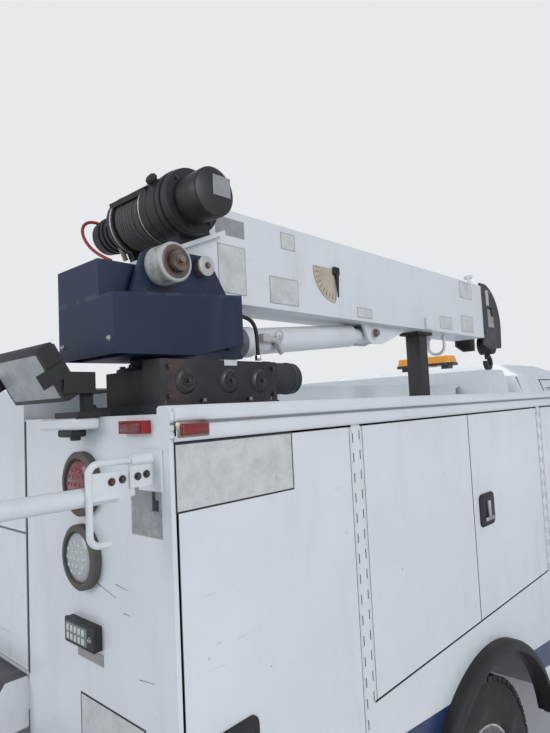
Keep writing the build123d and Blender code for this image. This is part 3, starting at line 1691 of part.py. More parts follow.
with BuildPart() as lift_cylinder:
    cylinder_bar(24, 10, barrel_start + 8)
    cylinder_bar(barrel_outer, barrel_start, barrel_end - 30)
    fillet(
        lift_cylinder.edges().filter_by(GeomType.CIRCLE).group_by(SortBy.RADIUS)[-1].sort_by(Axis.X)[-1], 12
    )
    cylinder_bar(barrel_outer + 5, barrel_end - 36, barrel_end)
    crane_bar(boom_eye_forward, boom_eye_up, 30, -eye_half, eye_half)
    crane_bar(
        boom_eye_forward,
        boom_eye_up,
        eye_pin_radius + running_gap,
        -eye_half - 1,
        eye_half + 1,
        mode=Mode.SUBTRACT,
    )
    cylinder_bar(barrel_inner, rod_inner_end - 30, barrel_end - 30, mode=Mode.SUBTRACT)
    cylinder_bar(rod_radius + running_gap, barrel_end - 31, barrel_end + 1, mode=Mode.SUBTRACT)
lift_cylinder.part.label = "lift_cylinder"
export_step(lift_cylinder.part, "parts/lift_cylinder.step")

with BuildPart() as cylinder_rod:
    cylinder_bar(rod_radius, rod_inner_end + 20, cylinder_length - 10)
    cylinder_bar(barrel_inner - running_gap, rod_inner_end, rod_inner_end + 30)
    crane_bar(rod_pin_forward, rod_pin_up, 28, -eye_half, eye_half)
    crane_bar(rod_pin_forward, rod_pin_up, 14, -boom_half + 1, boom_half - 1)
cylinder_rod.part.label = "cylinder_rod"
export_step(cylinder_rod.part, "parts/cylinder_rod.step")

rest_forward = 1188.0
rest_width = 60.0
with BuildPart() as boom_rest:
    crane_block((rest_forward - 55, rest_forward + 55), (-55, 55), (0, 10))
    crane_block(
        (rest_forward - rest_width / 2, rest_forward + rest_width / 2),
        (-rest_width / 2, rest_width / 2),
        (9, boom_low - 10),
    )
    crane_block((rest_forward - 60, rest_forward + 60), (-40, 40), (boom_low - 12, boom_low - seat_gap))
boom_rest.part.label = "boom_rest"
export_step(boom_rest.part, "parts/boom_rest.step")
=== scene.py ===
import functools
import math
import random

import bmesh
import bpy
from mathutils import Matrix, Vector


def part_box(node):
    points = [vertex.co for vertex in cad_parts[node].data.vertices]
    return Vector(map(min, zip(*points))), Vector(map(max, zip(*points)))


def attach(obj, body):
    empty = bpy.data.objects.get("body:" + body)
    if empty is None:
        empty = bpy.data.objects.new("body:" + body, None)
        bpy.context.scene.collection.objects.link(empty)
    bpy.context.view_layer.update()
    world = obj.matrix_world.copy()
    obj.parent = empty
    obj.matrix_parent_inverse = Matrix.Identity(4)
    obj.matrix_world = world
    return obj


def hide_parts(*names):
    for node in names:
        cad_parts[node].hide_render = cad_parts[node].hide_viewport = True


bl_info = {
    "name": "Service Crane Truck Finish",
    "version": (1, 0, 0),
    "blender": (4, 5, 0),
    "location": "View3D > Sidebar > Truck",
    "description": "Adds paint, lamps, latches, tyres, winch rope and a studio to the packed crane truck",
    "category": "Object",
}

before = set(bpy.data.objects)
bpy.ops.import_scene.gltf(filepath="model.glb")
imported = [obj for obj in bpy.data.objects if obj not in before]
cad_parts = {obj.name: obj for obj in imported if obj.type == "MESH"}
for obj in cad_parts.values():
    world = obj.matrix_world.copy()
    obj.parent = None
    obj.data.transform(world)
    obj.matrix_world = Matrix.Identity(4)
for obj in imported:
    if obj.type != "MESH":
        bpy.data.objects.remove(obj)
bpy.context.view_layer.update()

# Lines of the truck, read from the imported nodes
rear_wall_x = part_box("right_pack")[0].x
body_front_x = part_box("right_pack")[1].x
side_face_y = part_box("left_rear_pack_door")[1].y
pack_inner_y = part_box("left_pack")[0].y
pack_roof_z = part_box("crane_base")[0].z
cab_rear_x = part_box("cab_shell")[0].x
cowl_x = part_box("cab_shell")[1].x
cab_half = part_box("cab_shell")[1].y
# Drop of the bed's floor below the tailgate, height of the light bar's foot, reach of the boom rest from the crane
floor_drop, foot_height, rest_reach = 0.0143, 0.058, 1.188
bed_floor_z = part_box("tailgate")[0].z - floor_drop
light_foot_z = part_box("light_bar")[0].z + foot_height
crane_x = (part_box("boom_rest")[0].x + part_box("boom_rest")[1].x) / 2 - rest_reach
crane_y = (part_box("boom_rest")[0].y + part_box("boom_rest")[1].y) / 2
sides = (("right", -1), ("left", 1))
door_names = ("rear_pack_door", "middle_rear_pack_door", "middle_front_pack_door", "front_pack_door")
forward, rearward, leftward, rightward, upward = (1, 0, 0), (-1, 0, 0), (0, 1, 0), (0, -1, 0), (0, 0, 1)
full_turn = 2 * math.pi
# Height and radius of the wheels, and their places along the truck
tyre_radius, front_wheel_x, rear_wheel_x = 0.405, 2.1475, -1.5425
# Axes across the crane, as millimetres forward and up
drum, boom_pivot, upper_pin = (-38, 485), (-115, 325), (0, 340)
finishes = {}


def on_crane(ahead, across, up):
    """Point given in millimetres from the slewing centre and the pack's roof."""
    return Vector((crane_x + ahead / 1000, crane_y + across / 1000, pack_roof_z + up / 1000))


def on_axis(axis, across, ahead=0, up=0):
    """Point beside an axis across the crane."""
    return on_crane(axis[0] + ahead, across, axis[1] + up)


def colour_setting(name, description, default):
    return bpy.props.FloatVectorProperty(name=name, description=description, subtype="COLOR", size=3, default=default,
                                         min=0, max=1)


def length_setting(name, description, default, least, most):
    return bpy.props.FloatProperty(name=name, description=description, default=default, min=least, max=most,
                                   subtype="DISTANCE", unit="LENGTH")


class TruckColours(bpy.types.PropertyGroup):
    body_paint: colour_setting("Body paint", "Paint of the cab and the service body", (0.70, 0.725, 0.74))
    crane_paint: colour_setting("Crane paint", "Paint of the boom, base and cylinder", (0.68, 0.70, 0.71))
    cover_paint: colour_setting("Turret cover", "Paint of the turret's sheet cover", (0.0045, 0.0145, 0.050))
    stripe: colour_setting("Stripe", "Stripe along the sides", (0.012, 0.030, 0.095))
    lamp_red: colour_setting("Lamp red", "Lens of the stop and side lamps", (0.26, 0.006, 0.010))
    lamp_amber: colour_setting("Lamp amber", "Lens of the warning light bar", (0.86, 0.34, 0.012))
    floor_colour: colour_setting("Floor", "Colour of the studio floor", (0.74, 0.75, 0.76))


class TruckSizes(bpy.types.PropertyGroup):
    groove_depth: length_setting("Tread depth", "Depth of the tyre grooves", 0.012, 0.002, 0.02)
    rope_diameter: length_setting("Rope", "Diameter of the rope on the drum", 0.0075, 0.004, 0.012)
    knuckle_length: length_setting("Hinge knuckle", "Length of a knuckle of the door hinges", 0.0245, 0.01, 0.1)


def colours():
    return bpy.context.scene.truck_colours


def sizes():
    return bpy.context.scene.truck_sizes


class Shade:
    """A material under construction, with its nodes wired by short calls."""

    def __init__(self, name):
        self.material = bpy.data.materials.new(name)
        self.material.use_nodes = True
        self.tree = self.material.node_tree
        self.tree.nodes.clear()
        self.output = self.add("OutputMaterial")
        self.surface = self.add("BsdfPrincipled")
        self.tree.links.new(self.surface.outputs[0], self.output.inputs[0])
        self.coords = self.add("TexCoord").outputs["Object"]

    def put(self, socket, value):
        """Link or set a socket."""
        if isinstance(value, bpy.types.NodeSocket):
            self.tree.links.new(value, socket)
        else:
            socket.default_value = (*value, 1) if socket.type == "RGBA" else value

    def add(self, kind, **values):
        """New node; spaces in the names of its sockets are underscores."""
        node = self.tree.nodes.new("ShaderNode" + kind)
        for name, value in values.items():
            self.put(node.inputs[name.replace("_", " ")], value)
        return node

    def set(self, **values):
        """Set sockets of the surface."""
        for name, value in values.items():
            self.put(self.surface.inputs[name.replace("_", " ")], value)

    def noise(self, scale, detail=3.0, roughness=0.55, stretch=(1, 1, 1), distortion=0.0, offset=(0, 0, 0)):
        mapped = self.add("Mapping", Scale=stretch, Location=offset, Vector=self.coords).outputs[0]
        return self.add("TexNoise", Scale=scale, Detail=detail, Roughness=roughness, Distortion=distortion,
                        Vector=mapped).outputs["Fac"]

    def wave(self, scale, axis, distortion=0.0):
        node = self.add("TexWave", Scale=scale, Distortion=distortion, Vector=self.coords)
        node.bands_direction = axis
        return node.outputs["Fac"]

    def math(self, operation, *values, clamp=False):
        node = self.add("Math")
        node.operation = operation
        node.use_clamp = clamp
        for socket, value in zip(node.inputs, values):
            self.put(socket, value)
        return node.outputs[0]

    def joined(self, operation, values):
        return functools.reduce(lambda first, second: self.math(operation, first, second), values)

    def times(self, *values):
        return self.joined("MULTIPLY", values)

    def most(self, *values):
        return self.joined("MAXIMUM", values)

    def least(self, *values):
        return self.joined("MINIMUM", values)

    def minus(self, first, second):
        return self.math("SUBTRACT", first, second)

    def off(self, value, middle=0.0):
        """Distance of a value from a middle."""
        return self.math("ABSOLUTE", self.minus(value, middle) if middle else value)

    def line(self, value, slope, start):
        return self.math("MULTIPLY_ADD", value, slope, start)

    def ramp(self, value, low, high, out_low=0.0, out_high=1.0):
        """Value between two limits, drawn out to new limits and clamped."""
        node = self.add("MapRange")
        node.interpolation_type = "SMOOTHSTEP"
        for socket, number in zip(node.inputs, (value, low, high, out_low, out_high)):
            self.put(socket, number)
        return node.outputs[0]

    def fall(self, value, low, high):
        return self.ramp(value, low, high, 1.0, 0.0)

    def within(self, value, low, high, soft=0.002):
        """One between two limits, zero outside, with a soft edge."""
        return self.times(self.ramp(value, low - soft, low + soft), self.fall(value, high - soft, high + soft))

    def mix(self, factor, first, second):
        node = self.add("Mix")
        node.data_type = "RGBA"
        for index, value in ((0, factor), (6, first), (7, second)):
            self.put(node.inputs[index], value)
        return node.outputs[2]

    def toned(self, tone, low, high, first, second):
        """First colour up to a limit of a tone, second colour past the next."""
        return self.mix(self.ramp(tone, low, high), first, second)

    def apart(self, vector):
        return self.add("SeparateXYZ", Vector=vector).outputs

    def place(self):
        """X, Y and Z of the surface point."""
        return self.apart(self.coords)

    def facing(self):
        """X, Y and Z of the surface's direction on the piece itself, so that it turns with a door."""
        return self.apart(self.add("TexCoord").outputs["Normal"])

    def distance(self, first, second, first_centre, second_centre):
        """Distance in a plane from a centre."""
        squares = [self.math("POWER", self.minus(value, centre), 2)
                   for value, centre in ((first, first_centre), (second, second_centre))]
        return self.math("SQRT", self.math("ADD", *squares))

    def bump(self, height, strength=0.2, distance=0.001):
        node = self.add("Bump", Strength=strength, Distance=distance, Height=height)
        self.tree.links.new(node.outputs[0], self.surface.inputs["Normal"])


def worn_paint(name, colour, dust=(0.36, 0.32, 0.27), dust_amount=0.25, chips=0.35, under=(0.10, 0.045, 0.02),
               gloss=0.30, coat=0.25, tint=0.06):
    """Sprayed paint with faint mottling, dust, fine scratches and small chips."""
    shade = Shade(name)
    colour = Vector(colour)
    mottle = shade.noise(2.3, 4, 0.6)
    body = shade.toned(mottle, 0.3, 0.7, colour * (1 - tint), colour * (1 + tint * 0.35))
    streak = shade.noise(4, 4, 0.6, stretch=(3, 3, 0.6), distortion=0.5)
    low = shade.ramp(shade.place()[2], 0.45, 1.25, dust_amount * 0.9, 0.0)
    film = shade.math("ADD", shade.times(shade.ramp(streak, 0.50, 0.90), dust_amount),
                      shade.times(low, shade.ramp(shade.noise(38, 4, 0.7), 0.35, 0.7)), clamp=True)
    body = shade.mix(film, body, dust)
    scratch = shade.noise(60, 2, 0.5, stretch=(0.25, 1, 1.9), distortion=0.4)
    scuff = shade.times(shade.ramp(scratch, 0.69, 0.74), shade.ramp(mottle, 0.5, 0.62), 0.35)
    body = shade.mix(scuff, body, colour * 0.62)
    speck = shade.noise(75, 3, 0.55, distortion=0.6)
    patch = shade.noise(5, 3, 0.6, offset=(3, 1, 7))
    chip = shade.times(shade.ramp(speck, 0.72, 0.745), shade.ramp(patch, 0.5, 0.62), chips)
    body = shade.mix(chip, body, under)
    rough = shade.ramp(mottle, 0.25, 0.75, gloss, gloss + 0.12)
    shade.set(Base_Color=body, Coat_Weight=coat, Coat_Roughness=0.12,
              Roughness=shade.math("ADD", rough, shade.times(film, 0.4), clamp=True))
    shade.bump(shade.minus(shade.times(shade.noise(260, 2, 0.5), 0.35), chip), 0.18, 0.0006)
    return shade, body


def body_paint():
    """White body paint with the stripe, door seals and painted shade in the door gaps and the rail's groove."""
    shade, body = worn_paint("body_paint", colours().body_paint, dust_amount=0.22, chips=0.5)
    x, y, z = shade.place()
    along, across = shade.minus(x, rear_wall_x), shade.off(y)
    under_top = shade.minus(shade.line(along, -0.120, pack_roof_z - 0.772), z)
    over_foot = shade.minus(z, shade.line(along, -0.157, pack_roof_z - 0.798))
    band = shade.times(shade.ramp(under_top, 0.0, 0.0012), shade.ramp(over_foot, 0.0, 0.0012),
                       shade.ramp(across, side_face_y - 0.0042, side_face_y - 0.0038),
                       shade.ramp(x, rear_wall_x + 0.30, rear_wall_x + 0.302))
    body = shade.mix(band, body, colours().stripe)
    # Black seals and painted shade on the faces inside the door gaps; the packs' inner faces by the rear wall get the
    # same black
    normal_y = shade.off(shade.facing()[1])
    seal_and_gap_shade = shade.times(shade.within(across, side_face_y - 0.046, side_face_y - 0.0015, 0.0005),
                       shade.fall(normal_y, 0.30, 0.40),
                       shade.within(x, rear_wall_x + 0.006, body_front_x - 0.006, 0.001),
                       shade.within(z, 0.50, pack_roof_z - 0.046, 0.001))
    inner = shade.times(shade.within(across, pack_inner_y - 0.014, pack_inner_y + 0.014, 0.001),
                        shade.ramp(normal_y, 0.60, 0.70),
                        shade.within(x, rear_wall_x + 0.004, rear_wall_x + 0.080, 0.001),
                        shade.fall(z, pack_roof_z - 0.006, pack_roof_z - 0.004))
    body = shade.mix(shade.most(seal_and_gap_shade, inner), body, (0.018, 0.018, 0.020))
    # Painted shade in the groove between the rail's two beads
    rail_groove_shade = shade.times(shade.within(z, pack_roof_z - 0.0205, pack_roof_z - 0.0150, 0.0008),
                         shade.ramp(across, side_face_y + 0.004, side_face_y + 0.0045), 0.85)
    shade.set(Base_Color=shade.mix(rail_groove_shade, body, (0.12, 0.125, 0.13)))
    return shade.material


def plain_paint(name, colour, **values):
    return worn_paint(name, colour, **values)[0].material


def cover_paint():
    """Dark sheet cover of the turret, rubbed pale along its edges; its pins and bosses stay bare and rusty."""
    shade, body = worn_paint("cover_paint", colours().cover_paint, dust=(0.045, 0.060, 0.095), dust_amount=0.35,
                             chips=0.5, under=(0.12, 0.14, 0.17), gloss=0.40, coat=0.05, tint=0.35)
    x, y, z = shade.place()
    top = shade.line(shade.minus(x, crane_x - 0.25), 0.0861, pack_roof_z + 0.251)
    edge = shade.off(shade.minus(z, top))
    worn = shade.times(shade.fall(edge, 0.0, 0.010), shade.ramp(shade.noise(22, 4, 0.65), 0.45, 0.62), 0.45)
    body = shade.mix(worn, body, (0.07, 0.09, 0.12))
    across = shade.off(y, crane_y)
    clear_of_ear = shade.ramp(across, 0.0942, 0.0945)
    grime = shade.noise(34, 4, 0.6)
    pale = shade.toned(grime, 0.40, 0.70, (0.46, 0.46, 0.44), (0.24, 0.21, 0.18))
    brown = shade.toned(grime, 0.35, 0.65, (0.055, 0.040, 0.032), (0.17, 0.12, 0.09))
    pivot, pin = on_axis(boom_pivot, 0), on_axis(upper_pin, 0)
    from_pivot, from_pin = shade.distance(x, z, pivot.x, pivot.z), shade.distance(x, z, pin.x, pin.z)
    hub = shade.times(shade.fall(from_pivot, 0.0448, 0.0450), clear_of_ear)
    core = shade.times(hub, shade.ramp(across, 0.1455, 0.1458), shade.fall(from_pivot, 0.026, 0.036))
    stub = shade.times(shade.fall(from_pin, 0.0228, 0.0230), clear_of_ear)
    for mask, colour in ((hub, pale), (core, brown), (stub, brown)):
        body = shade.mix(mask, body, colour)
    shade.set(Base_Color=body)
    return shade.material


def cast_iron(name="dark_casting", patch=None):
    """Rough dark casting, with an optional rusty patch between two corners."""
    shade = Shade(name)
    lumps = shade.noise(120, 5, 0.7)
    tone = shade.noise(7, 4, 0.6)
    rust = shade.noise(16, 5, 0.7, distortion=0.5)
    amount = shade.ramp(rust, 0.66, 0.80, 0.0, 0.5)
    if patch:
        (low_x, low_z), (high_x, high_z) = patch
        x, y, z = shade.place()
        field = shade.times(shade.within(x, low_x, high_x, 0.034), shade.within(z, low_z, high_z, 0.030),
                            shade.ramp(rust, 0.36, 0.58, 0.0, 0.62))
        amount = shade.most(amount, field)
    body = shade.toned(tone, 0.35, 0.7, (0.011, 0.013, 0.018), (0.034, 0.036, 0.042))
    body = shade.mix(amount, body, shade.mix(lumps, (0.065, 0.030, 0.018), (0.13, 0.068, 0.045)))
    shade.set(Base_Color=body, Roughness=shade.ramp(tone, 0.3, 0.7, 0.50, 0.72), Metallic=0.0)
    shade.bump(lumps, 0.55, 0.0012)
    return shade.material


def bare_steel(name="bare_steel", colour=(0.52, 0.52, 0.51), rust=0.4):
    shade = Shade(name)
    brush = shade.noise(90, 3, 0.6, stretch=(1, 1, 6))
    stain = shade.times(shade.ramp(shade.noise(20, 4, 0.6), 0.52, 0.68), rust)
    body = shade.mix(stain, shade.mix(brush, Vector(colour) * 0.8, colour), (0.20, 0.09, 0.04))
    shade.set(Base_Color=body, Metallic=0.85, Roughness=shade.ramp(brush, 0.2, 0.8, 0.26, 0.46))
    shade.bump(brush, 0.12, 0.0004)
    return shade.material


def moulded_plastic(name, colour, rough=0.55, grain=420):
    """Moulded plastic with a fine grain and a little dust in it."""
    shade = Shade(name)
    tone = shade.noise(5, 4, 0.6)
    body = shade.toned(tone, 0.35, 0.7, Vector(colour) * 0.85, Vector(colour) * 1.2)
    body = shade.mix(shade.ramp(shade.noise(30, 4, 0.7), 0.62, 0.8, 0.0, 0.25), body, (0.16, 0.15, 0.135))
    shade.set(Base_Color=body, Roughness=shade.ramp(tone, 0.3, 0.7, rough - 0.06, rough + 0.08))
    shade.bump(shade.noise(grain, 3, 0.6), 0.3, 0.0004)
    return shade.material


def tyre_rubber():
    shade = Shade("tyre_rubber")
    dusty = shade.noise(9, 5, 0.65)
    shade.set(Base_Color=shade.toned(dusty, 0.42, 0.75, (0.014, 0.014, 0.015), (0.085, 0.078, 0.070)),
              Roughness=shade.ramp(dusty, 0.3, 0.7, 0.62, 0.85))
    shade.bump(shade.noise(160, 3, 0.6), 0.35, 0.0006)
    return shade.material


def window_glass():
    shade = Shade("window_glass")
    film = shade.noise(7, 4, 0.6)
    shade.set(Base_Color=(0.62, 0.72, 0.72), Roughness=shade.ramp(film, 0.4, 0.75, 0.02, 0.10), IOR=1.5,
              Alpha=0.388, Transmission_Weight=0.0, Specular_IOR_Level=0.9)
    return shade.material


def mirror_glass():
    shade = Shade("mirror_glass")
    film = shade.noise(12, 3, 0.6)
    shade.set(Base_Color=shade.mix(film, (0.70, 0.72, 0.74), (0.80, 0.82, 0.84)), Metallic=1.0,
              Roughness=shade.ramp(film, 0.4, 0.8, 0.02, 0.07))
    return shade.material


def lamp_lens(name, colour, ribs=140.0):
    """Moulded lens with optic ribs both ways."""
    shade = Shade(name)
    optic = shade.times(shade.wave(ribs, "Y"), shade.wave(ribs, "Z"))
    shade.set(Base_Color=shade.mix(optic, Vector(colour) * 0.55, colour), Coat_Weight=0.6, Coat_Roughness=0.05,
              Roughness=shade.ramp(shade.noise(30), 0.3, 0.7, 0.10, 0.24))
    shade.bump(optic, 0.35, 0.0012)
    return shade.material


def label_paper(name, colour):
    """Blank vinyl label, faded and dusty."""
    shade = Shade(name)
    fade = shade.noise(26, 4, 0.65)
    body = shade.toned(fade, 0.35, 0.72, colour, Vector(colour) * 0.82)
    body = shade.mix(shade.ramp(shade.noise(120, 3, 0.6), 0.66, 0.74, 0.0, 0.6), body, (0.25, 0.25, 0.26))
    shade.set(Base_Color=body, Roughness=shade.ramp(fade, 0.3, 0.7, 0.30, 0.48))
    shade.bump(fade, 0.08, 0.0004)
    return shade.material


def clear_film():
    """Yellowed clear plastic over the paint."""
    shade = Shade("clear_film")
    haze = shade.noise(22, 4, 0.65)
    shade.set(Base_Color=shade.toned(haze, 0.3, 0.7, (0.60, 0.63, 0.60), (0.70, 0.72, 0.70)),
              Roughness=shade.ramp(haze, 0.3, 0.7, 0.16, 0.34), Alpha=shade.ramp(haze, 0.3, 0.7, 0.26, 0.50))
    shade.bump(haze, 0.15, 0.001)
    return shade.material


def rear_lamp_bases():
    """Rubber of the round lamps, black strobe housings and red marker bases."""
    shade = Shade("rear_lamp_bases")
    z = shade.place()[2]
    tone = shade.noise(18, 4, 0.65)
    rubber = shade.toned(tone, 0.35, 0.7, (0.070, 0.062, 0.056), (0.12, 0.10, 0.088))
    body = shade.toned(z, pack_roof_z - 0.40, pack_roof_z - 0.398, (0.018, 0.022, 0.021), rubber)
    body = shade.toned(z, pack_roof_z - 0.052, pack_roof_z - 0.050, body, colours().lamp_red)
    shade.set(Base_Color=body, Roughness=shade.ramp(tone, 0.3, 0.7, 0.42, 0.62))
    shade.bump(shade.noise(260, 3, 0.6), 0.25, 0.0005)
    return shade.material


def bordered_glass():
    """Windscreen and rear window with a black printed border."""
    shade = Shade("bordered_glass")
    x, y, z = shade.place()
    front = shade.ramp(x, 0.70, 0.72)
    half_front = shade.line(shade.minus(z, 1.375), -0.317, 0.865)
    half_rear = shade.line(shade.minus(z, 1.410), -0.128, 0.640)
    half = shade.math("ADD", shade.times(front, half_front), shade.times(shade.minus(1.0, front), half_rear))
    rim = shade.fall(shade.minus(half, shade.off(y)), 0.032, 0.036)
    foot, head = shade.line(front, -0.035, 1.440), shade.line(front, 0.032, 1.775)
    border = shade.most(rim, shade.fall(shade.minus(z, foot), -0.002, 0.002),
                        shade.ramp(shade.minus(z, head), -0.002, 0.002))
    shade.set(Base_Color=shade.mix(border, (0.62, 0.72, 0.72), (0.010, 0.010, 0.011)), IOR=1.5,
              Roughness=shade.ramp(shade.noise(7, 4, 0.6), 0.4, 0.75, 0.02, 0.10),
              Alpha=shade.ramp(border, 0.0, 1.0, 0.39, 1.0))
    return shade.material


def seat_cloth():
    shade = Shade("seat_cloth")
    weave = shade.most(shade.wave(420, "Y", distortion=0.6), shade.wave(420, "Z", distortion=0.6))
    tone = shade.noise(8, 4, 0.6)
    thread = shade.mix(tone, (0.075, 0.077, 0.085), (0.105, 0.105, 0.11))
    shade.set(Base_Color=shade.mix(weave, (0.028, 0.029, 0.033), thread), Sheen_Weight=0.3,
              Roughness=shade.ramp(tone, 0.3, 0.7, 0.82, 0.95))
    shade.bump(weave, 0.5, 0.0008)
    return shade.material


def rope_fibre():
    shade = Shade("rope_fibre")
    twist = shade.noise(420, 3, 0.6, stretch=(1, 0.4, 1))
    tone = shade.noise(30, 3, 0.6)
    strand = shade.mix(tone, (0.10, 0.10, 0.105), (0.17, 0.165, 0.16))
    shade.set(Base_Color=shade.mix(twist, (0.022, 0.022, 0.024), strand),
              Roughness=shade.ramp(tone, 0.3, 0.7, 0.55, 0.8))
    shade.bump(twist, 0.6, 0.001)
    return shade.material


def with_trim(shade, body):
    """Dark grained trim on the cab's inner faces, the paint on its outer skin."""
    x, y, z = shade.place()
    over_belt, over_edge = shade.most(shade.minus(z, 1.33), 0.0), shade.minus(z, 1.87)
    half, crown = shade.line(over_belt, -0.3796, 0.977), shade.line(over_edge, -2.0, 0.760)
    front, front_crown = shade.line(over_belt, -1.1296, cowl_x - 0.030), shade.line(over_edge, -1.625, cowl_x - 0.660)
    back, back_crown = shade.line(over_belt, 0.1296, cab_rear_x + 0.030), shade.line(over_edge, 1.5, cab_rear_x + 0.115)
    gap = shade.least(shade.minus(shade.least(half, crown), shade.off(y)),
                      shade.minus(shade.least(front, front_crown), x),
                      shade.minus(x, shade.most(back, back_crown)), shade.minus(1.930, z))
    trim = shade.mix(shade.noise(240, 3, 0.6), (0.055, 0.056, 0.060), (0.085, 0.086, 0.090))
    return shade.mix(shade.times(shade.ramp(gap, -0.001, 0.001), shade.ramp(z, 0.60, 0.66)), body, trim)


def cab_shell_paint():
    shade, body = worn_paint("cab_shell_paint", colours().body_paint, dust_amount=0.12, chips=0.2, gloss=0.22,
                             coat=0.45)
    shade.set(Base_Color=with_trim(shade, body))
    return shade.material


def cab_door_paint():
    """Door skin in body paint, trim panel inside, painted shade on its edges in the door gap, and the black mirror
    shell.
    """
    shade, body = worn_paint("cab_door_paint", colours().body_paint, dust_amount=0.16, chips=0.2, gloss=0.22,
                             coat=0.45)
    body = with_trim(shade, body)
    across = shade.off(shade.place()[1])
    # Painted shade: the door's edge faces inside the cab's width are drawn near black, as the shade in the gap
    edge = shade.times(shade.fall(shade.off(shade.facing()[1]), 0.45, 0.55),
                       shade.fall(across, cab_half + 0.004, cab_half + 0.006))
    body = shade.mix(edge, body, (0.016, 0.016, 0.018))
    shade.set(Base_Color=shade.toned(across, cab_half + 0.0005, cab_half + 0.0015, body, (0.022, 0.022, 0.024)))
    return shade.material


def bed_paint():
    """Body paint on the walls and a scuffed black liner on the floor."""
    shade, body = worn_paint("bed_paint", colours().body_paint, dust_amount=0.35, chips=0.8)
    floor = shade.times(shade.fall(shade.place()[2], bed_floor_z + 0.0095, bed_floor_z + 0.0105),
                        shade.ramp(shade.facing()[2], 0.5, 0.6))
    liner = shade.toned(shade.noise(14, 4, 0.7, stretch=(0.3, 1, 1)), 0.55, 0.75, (0.028, 0.028, 0.030),
                        (0.16, 0.155, 0.15))
    shade.set(Base_Color=shade.mix(floor, body, liner))
    return shade.material


def inner_boom_paint():
    """White inner boom with black tip plates and a worn steel sheave."""
    shade, body = worn_paint("inner_boom_paint", colours().crane_paint, dust_amount=0.30, chips=0.9, gloss=0.36,
                             coat=0.12)
    x, y, z = shade.place()
    across = shade.off(y, crane_y)
    plates = shade.times(shade.ramp(across, 0.0615, 0.0619), shade.ramp(x, crane_x + 1.686, crane_x + 1.687))
    dark = shade.toned(shade.noise(12, 4, 0.65), 0.5, 0.72, (0.016, 0.016, 0.018), (0.075, 0.06, 0.05))
    sheave = shade.times(shade.fall(across, 0.0185, 0.019), shade.ramp(x, crane_x + 1.72, crane_x + 1.721))
    shade.set(Base_Color=shade.mix(sheave, shade.mix(plates, body, dark), (0.20, 0.17, 0.14)))
    return shade.material


def light_bar_lens():
    """Amber dome with upright ribs over a black foot."""
    shade = Shade("light_bar_lens")
    ribs = shade.wave(95, "Y")
    foot = shade.fall(shade.place()[2], light_foot_z - 0.0005, light_foot_z + 0.0005)
    amber = Vector(colours().lamp_amber)
    shade.set(Base_Color=shade.mix(foot, shade.mix(ribs, amber * 0.72, amber), (0.02, 0.02, 0.022)),
              Roughness=shade.ramp(shade.noise(30), 0.3, 0.7, 0.14, 0.28), Coat_Weight=0.5, Coat_Roughness=0.06,
              Emission_Color=shade.mix(foot, amber, (0, 0, 0)), Emission_Strength=0.12)
    shade.bump(shade.times(ribs, shade.minus(1.0, foot)), 0.4, 0.0016)
    return shade.material


def rod_and_eye():
    """Polished rod; its eye and pin are bare and oily."""
    shade = Shade("rod_and_eye")
    eye = shade.fall(shade.place()[0], crane_x + 0.112, crane_x + 0.113)
    rod = shade.toned(shade.noise(9, 4, 0.6), 0.5, 0.7, (0.62, 0.64, 0.66), (0.40, 0.38, 0.36))
    shade.set(Base_Color=shade.mix(eye, rod, (0.18, 0.14, 0.11)), Metallic=1.0,
              Roughness=shade.ramp(eye, 0.0, 1.0, 0.16, 0.55))
    shade.bump(shade.noise(220, 2, 0.5), 0.05, 0.0003)
    return shade.material


def turned_to(axis):
    """Matrix that turns +Z to an axis."""
    return Vector(axis).to_track_quat("Z", "Y").to_matrix().to_4x4()


def circle(count, radius, start=0.0):
    """Places evenly around a circle, as pairs."""
    angles = [full_turn * index / count + start for index in range(count)]
    return [(radius * math.cos(angle), radius * math.sin(angle)) for angle in angles]


def soften(mesh, edges, width, segments=2):
    bmesh.ops.bevel(mesh, geom=list(edges), offset=width, offset_type="OFFSET", segments=segments, profile=0.5,
                    affect="EDGES", material=-1)


# Each of these returns a part: a function that builds it in a mesh
def block(centre, size, bevel=0.002, segments=2, turn=Matrix()):
    """Bevelled block."""
    def build(mesh):
        place = Matrix.Translation(centre) @ turn @ Matrix.Diagonal((*size, 1))
        made = bmesh.ops.create_cube(mesh, size=1, matrix=place)
        edges = {edge for vert in made["verts"] for edge in vert.link_edges}
        soften(mesh, edges, min(bevel, min(size) * 0.45), segments)
    return build


def sheet(centre, size, bevel=0.0003, turn=Matrix()):
    """Thin block with plain edges."""
    return block(centre, size, bevel, 1, turn)


def bar(start, end, radius, segments=24, end_radius=None, bevel=0.0):
    """Round bar between two points, bevelled at its ends."""
    start, end = Vector(start), Vector(end)

    def build(mesh):
        made = bmesh.ops.create_cone(mesh, cap_ends=True, cap_tris=False, segments=segments, radius1=radius,
                                     radius2=radius if end_radius is None else end_radius, depth=(end - start).length,
                                     matrix=Matrix.Translation((start + end) / 2) @ turned_to(end - start))
        if bevel:
            soften(mesh, {edge for vert in made["verts"] for edge in vert.link_edges
                          if any(len(face.verts) == segments for face in edge.link_faces)}, bevel)
    return build


def crane_bar(start, end, radius, segments=20, bevel=0.001, end_radius=None):
    return bar(on_crane(*start), on_crane(*end), radius, segments, end_radius, bevel)


